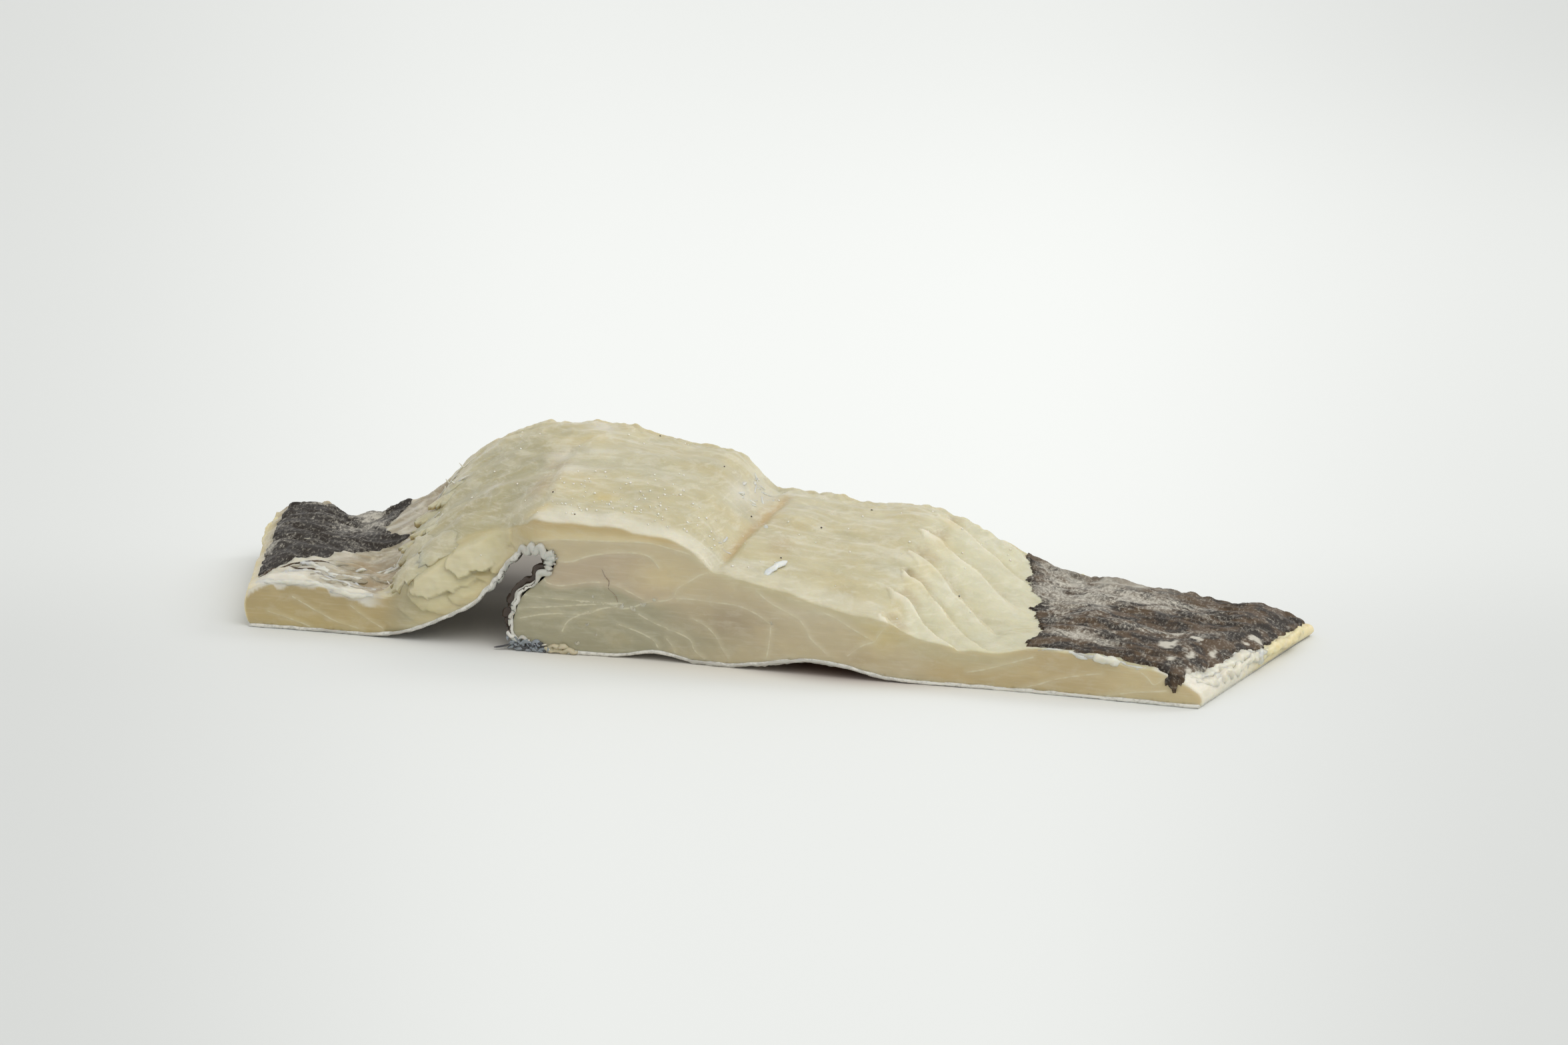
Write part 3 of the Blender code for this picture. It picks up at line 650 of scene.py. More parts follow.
STAIN_BROWN = (160, 134, 94)
STAIN_YELLOW = (203, 184, 124)
GROOVE_STAIN = (186, 158, 108)
SEAM_AND_HIGHLIGHT_WHITE = (214, 208, 180)
PALE_FIBRE_AND_HIGHLIGHT = (228, 223, 203)
SCOOP_SHADE = (184, 167, 122)
UNDER_FLAKE_SHADE = (190, 170, 118)
LINING_BLACK = (43, 36, 29)
LINING_BROWN = (84, 67, 48)
LINING_BLUE = (56, 52, 48)
LINING_PALE = (182, 177, 164)
LINING_SALT = (206, 200, 184)
CRACK_BROWN = (152, 129, 102)
SPOT_PALE = (206, 201, 186)
SKIN_DARK = (96, 92, 86)
SKIN_PALE = (172, 168, 156)
SKIN_RIM = (220, 218, 208)
TUBE_PALE = (194, 193, 182)
POCKET_SHADOW_BROWN = (62, 50, 39)
SKIN_RIM_GREY = (190, 188, 178)
TATTER_BLUE = (138, 144, 148)
TATTER_DARK = (74, 74, 76)
TATTER_CREAM = (196, 186, 156)
GRAIN_WHITE = (238, 234, 220)
SPECK_DARK = (66, 54, 42)
TAG_WHITE = (220, 221, 214)
SKIN_FOLD_SHADE = (70, 58, 44)
FLOOR_PALE = (238, 240, 237)
# Colours of painted shade on the paper: warm under the slab, brown under the right loin, grey behind the
# crease.
FLOOR_WARM_SHADE = (214, 200, 176)
FLOOR_SHADOW_BROWN = (118, 70, 48)
FLOOR_SHADOW_GREY = (150, 144, 136)

# Thick edges of the skin along the front cut: first and last landmark, radius, how far in and how far back
# they lie, colour and lumpiness.
RIM_TUBES = [
    (0.1, 5.7, 0.4, 0.3, -0.1, SKIN_RIM_GREY, 0.8),
    (5.5, 7.9, 0.65, 0.4, -0.2, TUBE_PALE, 0.8),
    (7.7, 12.3, 1.05, 0.85, -0.35, TUBE_PALE, 0.5),
    (12.1, 15.3, 0.6, 0.5, -0.2, TUBE_PALE, 0.8),
    # A dark brown tube that stands for painted shadow in the crease's pocket behind the rim.
    (10.8, 15.4, 1.25, -0.6, 1.2, POCKET_SHADOW_BROWN, 0.9),
    (19.2, 25.5, 0.5, 0.4, -0.15, SKIN_RIM_GREY, 0.9),
    (25.3, 31.0, 0.4, 0.3, -0.1, SKIN_RIM, 0.9),
]

# Strands of fat along the rims and the cuts' top edges: path seen from above, how deep they sink, radius,
# colour, height as a share of their breadth, seed and lumpiness.
EDGE_STRANDS = [
    (edge_line(0.8, 43, 1.3, 0.5, 3.1), 0.55, 1.0, FAT_WHITE, 0.8, 1, 0.8),
    (edge_line(243, 276, 1.4, 0.6, 2.3), 0.55, 0.8, FAT_WHITE, 0.8, 2, 0.9),
    ([(258.5, 1.0), (262, 0.9), (266.5, 1.0)], 0.5, 1.5, FAT_WHITE, 0.8, 12, 0.7),
    ([(253, 1.6), (257, 1.5), (260, 1.3)], 0.5, 0.9, TOP_EDGE, 0.8, 13, 0.9),
    (RIGHT_RIM[3:], 1.1, 1.7, RIM_YELLOW, 0.9, 3, 0.5),
    (RIGHT_RIM[:5], 1.3, 2.0, RIM_WHITE, 0.9, 4, 0.8),
    ([(284.5, 3), (287.5, 9), (291, 18), (295.5, 31), (299, 42)], 0.9, 1.9, RIM_WHITE, 0.7, 5, 0.9),
    ([(-15.5, 45), (-19, 56), (-21, 64), (-23.2, 75)], 1.1, 1.5, RIM_YELLOW, 0.8, 5, 0.5),
]

# Torn strands of lining on the left flap: their path seen from above, and radius.
LINING_STRANDS = [
    ([(1.5, 5), (4, 8.5), (7, 11), (11, 14.5), (15, 15.5), (19, 18)], 0.5),
    ([(9, 11), (13, 10.5), (17, 8.5), (18.5, 9)], 0.4),
]

# Frayed folds at the crease's foot: first and last x, height, colour, radius and sway.
FRAYED_FOLDS = [
    (84.0, 97.5, 0.6, TATTER_BLUE, 0.85, 0.7),
    (85.0, 96.0, 1.7, TATTER_DARK, 0.7, 0.7),
    (84.4, 94.5, 2.6, TATTER_BLUE, 0.8, 0.7),
    (84.6, 91.5, 3.7, SKIN_RIM_GREY, 0.75, 0.7),
    (83.6, 87.0, 4.7, SKIN_RIM, 0.7, 0.7),
    (95.0, 106.0, 0.9, TATTER_CREAM, 0.9, 0.2),
    (96.5, 103.5, 2.0, TATTER_CREAM, 0.9, 0.3),
]

# Painted shade on the paper, in metres: centre, reach, colour and strength: warm shade under the slab, a
# brown shadow under the raised right loin and a grey shadow behind the crease.
PAINTED_FLOOR_SHADE = [
    ((0.0, 0.0), (0.18, 0.06), FLOOR_WARM_SHADE, 0.5),
    ((0.045, -0.005), (0.062, 0.045), FLOOR_SHADOW_BROWN, 0.95),
    ((-0.086, 0.040), (0.031, 0.036), FLOOR_SHADOW_GREY, 0.95),
]

# Stains on the flesh's top: colour, centre, reach along each axis, and strength.
STAINS = [
    (STAIN_YELLOW, (91, 7, 41), (4, 3, 6), 0.8),
    (STAIN_YELLOW, (109, 16, 44), (3.5, 3.5, 8), 0.8),
    (STAIN_YELLOW, (90, 58, 51), (9, 5, 8), 0.55),
    (STAIN_BROWN, (89, 37, 48), (2.5, 3, 8), 0.4),
    (STAIN_BROWN, (86, 24, 44), (4, 6, 8), 0.35),
    (STAIN_BROWN, (40, 11, 12), (6, 4, 8), 0.7),
    (STAIN_BROWN, (31, 22, 15), (9, 4, 8), 0.4),
    (STAIN_BROWN, (36, 60, 24), (4, 9, 8), 0.5),
    (FAT_WHITE, (90, 71, 52), (5, 4, 8), 0.7),
    (FAT_WHITE, (93, 31, 48), (4, 3, 8), 0.6),
    (FAT_WHITE, (85, 45, 48), (4, 3, 8), 0.6),
    (FAT_WHITE, (97, 47, 51), (7, 2, 8), 0.5),
    (FAT_WHITE, (66, 34, 39), (3, 2, 8), 0.5),
    (FAT_WHITE, (141, 50, 38), (3, 9, 8), 0.75),
    (FAT_WHITE, (146, 60, 36), (4, 6, 8), 0.6),
    (GROOVE_STAIN, (150, 48, 34), (4, 13, 8), 0.4),
    (STAIN_BROWN, (161, 24, 30), (4, 7, 8), 0.35),
    (TOP_SHADE, (124, 42, 46), (20, 26, 20), 0.3),
    (STAIN_YELLOW, (203, 66, 29), (3, 4, 8), 0.5),
    (STAIN_YELLOW, (204, 50, 27), (4, 5, 8), 0.4),
    (STAIN_YELLOW, (203, 32, 24), (4, 4, 8), 0.35),
    (STAIN_YELLOW, (201, 21, 23), (4, 3, 8), 0.35),
    (STAIN_YELLOW, (200, 7, 18), (3, 4, 8), 0.5),
]


def linear(colour):
    """An sRGB colour from 0 to 255 as linear light from 0 to 1."""
    c = np.array(colour, float) / 255
    return np.where(c <= 0.04045, c / 12.92, ((c + 0.055) / 1.055) ** 2.4)


def blend_in(base, colour, share):
    """Mixes a colour into an array of colours by a share for each point."""
    share = np.clip(share, 0, 1)[..., None]
    return base * (1 - share) + linear(colour) * share


def coats(colour, *layers):
    """Mixes colours in one after another, each by a share for each point."""
    for tint, share in layers:
        colour = blend_in(colour, tint, share)
    return colour


def spot(points, centre, radius):
    """1 at a centre, and fading out round it."""
    return np.exp(-(((points - np.array(centre)) / np.array(radius)) ** 2).sum(axis=-1))


def paint_slope(colour, x, y):
    """The slope's flakes: pale crests with white tips at the level top, both partly painted highlight, and a
    warmer painted shade in the scoop behind each.
    """
    wander = 0.06 * layered_noise(stack(x / 5.0, y / 5.0, 14.0), 2, 55)
    share = (slope_phase(x, y) + wander) % 1.0
    past_edge = x - plateau_edge_x(x, y)
    shown = smoothstep(-0.6, 0.6, past_edge) * fading(*FLAKES_END, x)
    milky = 0.65 + 0.9 * layered_noise(stack(x / 5.0, y / 4.0, 15.0), 2, 56)
    milky = np.clip(milky, 0, 1) * (1 - 0.55 * smoothstep(203, 232, x))
    at_tip = shown * fading(3.0, 8.0, past_edge)
    return coats(
        colour,
        # Painted shade in each scoop, and painted highlight along the crests and on the tips.
        (SCOOP_SHADE, 0.4 * shown * fading(0.04, 0.4, share)),
        (PALE_FIBRE_AND_HIGHLIGHT, 0.4 * shown * milky * smoothstep(0.6, 0.97, share)),
        (PALE_FIBRE_AND_HIGHLIGHT, 0.6 * shown * milky * smoothstep(0.92, 0.98, share)),
        (PALE_FIBRE_AND_HIGHLIGHT, 0.6 * at_tip * milky * smoothstep(0.6, 0.9, share)),
        (STAIN_BROWN, 0.4 * at_tip * bump(share - 0.3, 0.2)),
    )


def paint_loins(points):
    """The loins' cream and grey, the shade behind the broken shoulder, and the pale edge over the cut."""
    x, y, z = np.moveaxis(points, -1, 0)
    bend = 6 * soft_noise(stack(x / 30.0, y / 16.0, 2.0), 43)
    blotches = layered_noise(stack(x / 16.0, (y + bend) / 8.0, z / 12.0), 3, 41)
    streaks = layered_noise(stack(x / 14.0, (y + bend) / 2.2, 5.0), 3, 45)
    fold = fold_line_x(y)
    behind_shoulder = smoothstep(44, 56, x) * fading(fold - 16, fold + 5, x + 7 * blotches)
    below_fold = bump(x - fold + 3, 3.0) * band(y, 12, 22, 45, 60)
    over_cut = fading(4, 10, y) * band(x, 88, 96, 205, 225) * (1 - 0.55 * smoothstep(138, 150, x))
    return coats(
        np.zeros(points.shape) + linear(TOP_CREAM),
        (TOP_WARM, 0.55 * smoothstep(0.0, 0.7, blotches)),
        (TOP_GREY, 0.7 * smoothstep(0.05, 0.6, -blotches)),
        (TOP_EDGE, 0.5 * smoothstep(0.05, 0.6, streaks)),
        (TOP_SHADE, 0.6 * behind_shoulder * fading(50, 76, y)),
        (STAIN_BROWN, 0.3 * below_fold * (0.6 + streaks)),
        (TOP_EDGE, 0.9 * over_cut),
        # Paler right slope: partly paler flesh, partly painted light on its right-facing side.
        (LIT_SLOPE_PALE, 0.7 * band(x, 192, 204, 236, 246)),
    )


def paint_flaps(colour, x, y):
    """The left flap's tissue and stains, and the white and yellow rims of both flaps."""
    edge = torn_edge_x(y)
    on_left = fading(edge - 2, edge + 1, x)
    tissue = layered_noise(stack((x + y) / 9.0, (y - 0.6 * x) / 3.0, 8.0), 4, 47)
    by_cut = layered_noise(stack(x / 4.0, y / 3.0, 8.0), 2, 49)
    rim_x, rim_y = np.array(RIGHT_RIM, float).T
    from_rim = np.interp(y, rim_y, rim_x) - x + 1.5 * by_cut
    left_rim_x = -0.34 * y
    return coats(
        colour,
        (FLAP_TISSUE, 0.95 * on_left),
        (FAT_WHITE, 0.5 * on_left * smoothstep(0.0, 0.5, tissue)),
        (FAT_WHITE, 0.6 * on_left * fading(14, 28, x) * fading(20, 40, y)),
        (STAIN_BROWN, 0.4 * on_left * smoothstep(0.0, 0.5, -tissue) * smoothstep(20, 34, x)),
        (FAT_WHITE, fading(2.5, 6.0, y + 3 * by_cut) * fading(36, 46, x)),
        (RIM_WHITE, smoothstep(11, 8, from_rim)),
        (RIM_YELLOW, smoothstep(4.0, 2.0, from_rim) * smoothstep(26, 40, y + 6 * by_cut)),
        (RIM_YELLOW, 0.8 * fading(left_rim_x - 1, left_rim_x + 5, x)),
    )


def paint_top(points):
    """The flesh's colour seen from above."""
    x, y, _ = np.moveaxis(points, -1, 0)
    colour = paint_slope(paint_loins(points), x, y)
    colour = paint_flaps(colour, x, y)
    for stain, centre, radius, strength in STAINS:
        colour = blend_in(colour, stain, strength * spot(points, centre, radius))
    groove = bump(x - groove_line_x(y), 1.3) * band(y, 6, 16, 58, 70)
    return blend_in(colour, GROOVE_STAIN, 0.75 * groove)


def paint_cut(points):
    """The flesh's colour on the two cuts, clearer and darker, with its pattern on the front one."""
    x, y, z = np.moveaxis(points, -1, 0)
    below_top = height_of(FLESH, np.clip(x, 0, 289)) - z
    first, second, third = [np.interp(x, *np.array(seam).T) for seam in LEFT_LOIN_SEAMS[:3]]
    at_front = smoothstep(60, 30, y)
    on_left_loin = at_front * fading(128, 142, x)
    deep = band(x, 70, 88, 128, 144) * smoothstep(-0.4, 0.4, z - first) * at_front
    soft_depth = 4.5 + 3.5 * smoothstep(185, 205, x)
    soft_top = band(x, 134, 142, 232, 244) * smoothstep(soft_depth, 0.5, below_top)
    clouds = layered_noise(points / np.array((9.0, 9.0, 6.0)), 3, 51)
    fat_depth = 2.2 + 1.6 * soft_noise(stack(x / 3.5, 0.0, 4.0), 53)
    fat = smoothstep(fat_depth + 0.4, fat_depth - 0.4, below_top) * fading(38, 46, x)
    colour = coats(
        np.zeros(points.shape) + linear(CUT_MIDDLE),
        (CUT_PINK, on_left_loin * smoothstep(-0.4, 0.4, second - z)),
        (CUT_GREY, on_left_loin * smoothstep(-0.5, 2.5, third - z)),
        (CUT_GREY, 0.8 * spot(points, (142, 0, 8), (14, 60, 7))),
        (CUT_CENTRE, 0.8 * spot(points, (152, 0, 14), (14, 60, 6))),
        (CUT_PALE, 0.8 * spot(points, (176, 0, 19), (12, 60, 4))),
        (CUT_UPPER, deep),
        (CUT_EDGE, deep * smoothstep(3.5, 0.5, below_top)),
        (CUT_UPPER, 0.8 * spot(points, (132, 0, 26), (9, 60, 5))),
        (CUT_UPPER, 0.6 * smoothstep(6, 2, below_top) * smoothstep(185, 197, x)),
        (FLAP_CUT, smoothstep(206, 216, x)),
        (TOP_CREAM, 0.8 * soft_top),
        (CUT_UPPER, 0.5 * smoothstep(255, 272, x)),
        (FLAP_CUT_LEFT, fading(42, 54, x)),
        (STAIN_YELLOW, 0.6 * spot(points, (198, 0, 13), (6, 60, 4))),
        (STAIN_BROWN, 0.3 * spot(points, (192, 0, 6), (7, 60, 2.5))),
        (CUT_UPPER, 0.25 * smoothstep(0.1, 0.8, clouds)),
        (STAIN_YELLOW, 0.3 * spot(points, (20, 0, 3), (24, 60, 4))),
        (FAT_WHITE, fat),
    )
    return paint_shoulder(colour, points, at_front)


def paint_shoulder(colour, points, at_front):
    """The broken shoulder: pale flakes with white tips of painted highlight, and darker flesh between them, a
    painted warm shade.
    """
    x, _, z = np.moveaxis(points, -1, 0)
    broken = at_front * shoulder_share(x, z)
    on_shoulder = broken * smoothstep(45, 52, x)
    standing = shoulder_flakes(x, z)
    return coats(
        colour,
        (SHOULDER_PALE, broken * smoothstep(47, 56, x)),
        # Painted warm shade low between the flakes, and painted highlight where they stand furthest forward.
        (UNDER_FLAKE_SHADE, 0.3 * on_shoulder * fading(0.1, 1.6, standing)),
        (SEAM_AND_HIGHLIGHT_WHITE, 0.35 * on_shoulder * smoothstep(2.2, 3.6, standing)),
        (CUT_UPPER, 0.7 * broken * smoothstep(5, 1, z - height_of(UNDER_SHOULDER, x))),
        (CUT_EDGE, 0.6 * spot(points, (90, 6, 35.5), (7, 9, 3))),
    )


def set_numbers(mesh, name, values):
    """Keeps one number for each point of a mesh."""
    attribute = mesh.attributes.new(name, "FLOAT", "POINT")
    attribute.data.foreach_set("value", np.asarray(values, np.float32))


def set_colours(mesh, name, colours):
    """Keeps one colour for each point of a mesh."""
    attribute = mesh.attributes.new(name, "FLOAT_COLOR", "POINT")
    full = np.column_stack([colours, np.ones(len(colours))])
    attribute.data.foreach_set("color", full.astype(np.float32).ravel())


def add_object(name, data):
    """A new object in the scene."""
    made = bpy.data.objects.new(name, data)
    bpy.context.scene.collection.objects.link(made)
    return made


def add_piece(name, points, faces, material):
    """A smooth mesh piece from points in millimetres, riding on the slab's body."""
    mesh = bpy.data.meshes.new(name)
    moved = (np.asarray(points, float) - np.array((CENTRE_X, CENTRE_Y, 0.0))) * MM
    mesh.from_pydata(moved.tolist(), [], faces)
    mesh.materials.append(material)
    mesh.shade_smooth()
    piece = add_object(name, mesh)
    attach(piece, "root")
    return piece


def loft_faces(rows, count):
    """Quads between closed rows of points, each row of this many."""
    faces = []
    for k in range(rows - 1):
        for i in range(count):
            j = (i + 1) % count
            faces.append((k * count + i, (k + 1) * count + i, (k + 1) * count + j, k * count + j))
    return faces


def closed_tube(lines):
    """Points and faces of a tube between lines that run along it, with both its ends closed."""
    rows, count = len(lines[0]), len(lines)
    faces = loft_faces(rows, count)
    faces.append(tuple(range(count)))
    faces.append(tuple((rows - 1) * count + i for i in reversed(range(count))))
    return np.stack(lines, axis=1).reshape(-1, 3), faces


def cut_faces(loop, inner, first, inner_first, flip):
    """Triangles that fill one cut, from its edge's numbers and its inner points' numbers."""
    flat = [Vector(p) for p in np.vstack([loop, inner])]
    rim = [(i, (i + 1) % len(loop)) for i in range(len(loop))]
    _, _, faces, origins, _, _ = delaunay_2d_cdt(flat, rim, [], 1, 1e-5)
    made = []
    for face in faces:
        numbers = [origins[i][0] for i in face]
        numbers = [first + n if n < len(loop) else inner_first + n - len(loop) for n in numbers]
        made.append(tuple(reversed(numbers)) if flip else tuple(numbers))
    return made


def cut_grid(loop):
    """An even grid of points inside a loop."""
    low, high = loop.min(axis=0), loop.max(axis=0)
    columns = np.arange(low[0], high[0], CUT_GRID)
    rows = np.arange(low[1] + CUT_GRID / 2, high[1], CUT_GRID * 0.87)
    even = [(x + (row % 2) * CUT_GRID / 2, z) for row, z in enumerate(rows) for x in columns]
    fine = CUT_GRID / 2
    low, high = SHOULDER_SPAN
    heights = np.arange(*SHOULDER_HEIGHTS, fine)
    between = [(x + fine / 2, z + fine / 2) for x in np.arange(low, high, fine) for z in heights]
    kept = [point for point in even if not low < point[0] < high]
    return np.array(kept + between)


def seam_points(lines):
    """Rows of points along the seams, so that they show crisply."""
    rows = []
    for line in lines:
        tangent = np.gradient(line, axis=0)
        side = np.column_stack([-tangent[:, 1], tangent[:, 0]])
        side /= np.linalg.norm(side, axis=1)[:, None]
        rows += [line + side * offset for offset in SEAM_ROWS]
    return np.vstack(rows)


def cut_relief(x, z, seam):
    """Fine relief of a cut face: seams stand proud, flakes wave, and the knife leaves faint streaks."""
    ripple = layered_noise(stack(x / 6.0, z / 4.0, 1.0), 3, 61)
    streaks = soft_noise(stack(x / 9.0, z / 0.9, 5.0), 63)
    return 0.3 * ripple + 0.07 * streaks - 0.16 * bump(seam, 0.35)


def flesh_rings():
    """Closed rings of points from the front cut to the back one, and how far each point is on a cut."""
    skin_at = spread(SKIN, UNDER_STEPS)
    flesh_at = spread(FLESH, FLESH_STEPS)
    rings = []
    on_cut = []
    for v, inset in depth_rows():
        loop = section(v, skin_at, flesh_at)
        on_skin = np.arange(len(loop)) <= UNDER_STEPS
        draw_in = np.where(on_skin, UNDER_INSET, inset)
        x, z = (loop + inward(loop, 6) * draw_in[:, None]).T
        rings.append(stack(x, depth_y(x, z, v), z))
        on_cut.append(np.full(len(loop), np.clip(inset / EDGE_RADIUS, 0, 1)))
    return rings, on_cut


def cut_points(loop, seams, y_of, outwards):
    """Points inside a cut's edge, in the plane and in space, crisp along the seams if there are any."""
    inner = well_inside(cut_grid(loop), loop, CUT_GRID * 0.5)
    seam = np.full(len(inner), NO_SEAM)
    if seams:
        inner = inner[distance_to_lines(inner, seams) > SEAM_CLEAR]
        inner = np.vstack([inner, well_inside(seam_points(seams), loop, SEAM_TO_EDGE)])
        seam = distance_to_lines(inner, seams)
    x, z = inner.T
    from_edge = distance_to_lines(inner, [np.vstack([loop, loop[:1]])[::4]])
    y = y_of(x, z) - outwards * cut_relief(x, z, seam) * smoothstep(0.3, 2.0, from_edge)
    return inner, stack(x, y, z)


def dress_flesh(mesh, points, on_cut, seams):
    """Paints the flesh, and keeps what else its shader reads."""
    seam = np.full(len(points), NO_SEAM)
    near_front = (on_cut > 0.2) & (points[:, 1] < DEPTH / 2)
    seam[near_front] = distance_to_lines(points[near_front][:, [0, 2]], seams)
    share = smoothstep(0.1, 0.9, on_cut)[:, None]
    set_colours(mesh, "paint", paint_top(points) * (1 - share) + paint_cut(points) * share)
    set_numbers(mesh, "cut", on_cut)
    set_numbers(mesh, "seam", seam)


def build_flesh(material):
    """The body of flesh, one closed mesh, which stands for the solid."""
    rings, on_cut = flesh_rings()
    count = len(rings[0])
    faces = loft_faces(len(rings), count)
    points = np.vstack(rings)
    seams = [smooth_line(seam, SEAM_STEP) for seam in SEAMS]
    front = (rings[0], seams, front_y, -1, 0)
    back = (rings[-1], [], back_y, 1, len(points) - count)
    for ring, crisp, y_of, outwards, first in (front, back):
        loop = ring[:, [0, 2]]
        inner, placed = cut_points(loop, crisp, y_of, outwards)
        faces += cut_faces(loop, inner, first, len(points), outwards > 0)
        points = np.vstack([points, placed])
        on_cut.append(np.ones(len(inner)))
    piece = add_piece("flesh", points, faces, material)
    dress_flesh(piece.data, points, np.concatenate(on_cut), seams)
    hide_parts("cod_slab")
    return BVHTree.FromPolygons(points.tolist(), faces)


class Shader:
    """Small helper that adds nodes to a material and links them."""

    def __init__(self, name):
        self.material = bpy.data.materials.new(name)
        self.material.use_nodes = True
        self.tree = self.material.node_tree
        self.main = self.tree.nodes["Principled BSDF"]

    def node(self, kind, **settings):
        """A new node with these settings."""
        made = self.tree.nodes.new(kind)
        for key, value in settings.items():
            setattr(made, key, value)
        return made

    def feed(self, socket, value):
        """Links another node's output to a socket, or sets its value."""
        if isinstance(value, bpy.types.NodeSocket):
            self.tree.links.new(value, socket)
        else:
            socket.default_value = value

    def attribute(self, name, output="Fac"):
        """What a mesh keeps under a name."""
        return self.node("ShaderNodeAttribute", attribute_name=name).outputs[output]

    def place(self):
        """The place of the shaded point, in metres."""
        return self.node("ShaderNodeNewGeometry").outputs["Position"]

    def stretched(self, scale, vector=None):
        """A vector, or else the place, times a scale on each axis."""
        made = self.node("ShaderNodeVectorMath", operation="MULTIPLY")
        self.feed(made.inputs[0], vector or self.place())
        made.inputs[1].default_value = scale
        return made.outputs[0]

    def noise(self, cell, detail=3.0, roughness=0.55, distortion=0.0, vector=None):
        """Noise in cells of this length, depth and height in millimetres."""
        place = self.stretched(tuple(1000 / size for size in cell), vector)
        made = self.node("ShaderNodeTexNoise")
        self.feed(made.inputs["Vector"], place)
        made.inputs["Scale"].default_value = 1.0
        made.inputs["Detail"].default_value = detail
        made.inputs["Roughness"].default_value = roughness
        made.inputs["Distortion"].default_value = distortion
        return made.outputs["Fac"]

    def math(self, operation, a, b=0.0, clamp=False):
        """One step of arithmetic."""
        made = self.node("ShaderNodeMath", operation=operation, use_clamp=clamp)
        self.feed(made.inputs[0], a)
        self.feed(made.inputs[1], b)
        return made.outputs[0]

    def times(self, a, b):
        """The product."""
        return self.math("MULTIPLY", a, b)

    def plus(self, a, b):
        """The sum."""
        return self.math("ADD", a, b)

    def minus(self, a, b, clamp=False):
        """The difference."""
        return self.math("SUBTRACT", a, b, clamp)

    def ramp(self, value, low, high, start=0.0, end=1.0):
        """Climbs smoothly from start at low to end at high."""
        made = self.node("ShaderNodeMapRange", interpolation_type="SMOOTHSTEP")
        self.feed(made.inputs["Value"], value)
        for socket, number in zip(("From Min", "From Max", "To Min", "To Max"), (low, high, start, end)):
            self.feed(made.inputs[socket], number)
        return made.outputs[0]

    def mix(self, share, a, b, blend="MIX"):
        """A colour between two others."""
        made = self.node("ShaderNodeMix", data_type="RGBA", blend_type=blend)
        self.feed(made.inputs[0], share)
        for socket, value in zip((made.inputs[6], made.inputs[7]), (a, b)):
            if isinstance(value, tuple) and len(value) == 3:
                value = (*linear(value), 1.0)
            self.feed(socket, value)
        return made.outputs[2]

    def relief(self, height, distance, strength=1.0, before=None):
        """The normal of fine relief."""
        made = self.node("ShaderNodeBump")
        made.inputs["Distance"].default_value = distance
        made.inputs["Strength"].default_value = strength
        self.feed(made.inputs["Height"], height)
        if before:
            self.feed(made.inputs["Normal"], before)
        return made.outputs[0]

    def surface(self, **settings):
        """Feeds the main node's inputs, whose names have _ for a blank here."""
        for name, value in settings.items():
            self.feed(self.main.inputs[name.replace("_", " ")], value)


def flesh_material():
    """Dried cod flesh: translucent, fibrous, damp and a little uneven in colour."""
    s = Shader("cod_flesh_wet")
    paint = s.attribute("paint", "Color")
    cut = s.attribute("cut")
    seam = s.attribute("seam")
    fibres = s.noise((11, 4.5, 2.4), detail=2, distortion=0.3)
    clouds = s.noise((9, 10, 7), detail=3)
    shade = s.ramp(fibres, 0.3, 0.7, 0.965, 1.03)
    shade = s.times(shade, s.ramp(clouds, 0.3, 0.7, 0.95, 1.04))
    calm = s.ramp(cut, 0.3, 0.9, 1.0, 0.4)
    milky = s.noise((6, 9, 3), detail=5, roughness=0.65, distortion=0.4)
    threads = s.noise((9, 5, 0.8), detail=3, distortion=0.5)
    shade = s.plus(1.0, s.times(s.minus(shade, 1.0), calm))
    colour = s.mix(1.0, paint, shade, "MULTIPLY")
    veil = s.times(s.ramp(milky, 0.5, 0.66, 0.0, 0.36), calm)
    colour = s.mix(veil, colour, TOP_EDGE)
    veil = s.times(s.ramp(threads, 0.52, 0.7, 0.0, 0.24), calm)
    colour = s.mix(veil, colour, PALE_FIBRE_AND_HIGHLIGHT)
    broken = s.noise((2.5, 2.5, 1.5), detail=2)
    width = s.ramp(broken, 0.3, 0.7, 0.1, 0.42)
    line = s.minus(1.0, s.ramp(seam, 0.02, width), clamp=True)
    line = s.times(line, s.ramp(broken, 0.35, 0.65, 0.1, 0.6))
    glow = s.minus(1.0, s.ramp(seam, 0.1, 1.8), clamp=True)
    colour = s.mix(s.times(glow, 0.2), colour, SEAM_AND_HIGHLIGHT_WHITE)
    colour = s.mix(line, colour, SEAM_AND_HIGHLIGHT_WHITE)
    s.surface(Base_Color=colour, Roughness=s.ramp(clouds, 0.3, 0.7, 0.36, 0.46))
    s.surface(Subsurface_Weight=0.4, Subsurface_Radius=(1.0, 0.7, 0.35), Subsurface_Scale=0.004)
    s.surface(Specular_IOR_Level=0.5, Coat_Weight=0.12, Coat_Roughness=0.12)
    lumps_height = s.noise((5, 3.6, 3.2), detail=1)
    normal = s.relief(lumps_height, 0.0005, 0.6)
    rough_height = s.noise((2.2, 2.6, 1.8), detail=2)
    strength = s.ramp(cut, 0.3, 0.9, 0.00035, 0.00004)
    normal = s.relief(s.times(rough_height, strength), 1.0, 0.7, normal)
    fine_height = s.noise((1.1, 1.4, 0.9), detail=2)
    strength = s.ramp(cut, 0.3, 0.9, 0.00009, 0.00002)
    s.surface(Normal=s.relief(s.times(fine_height, strength), 1.0, 0.7, normal))
    return s.material


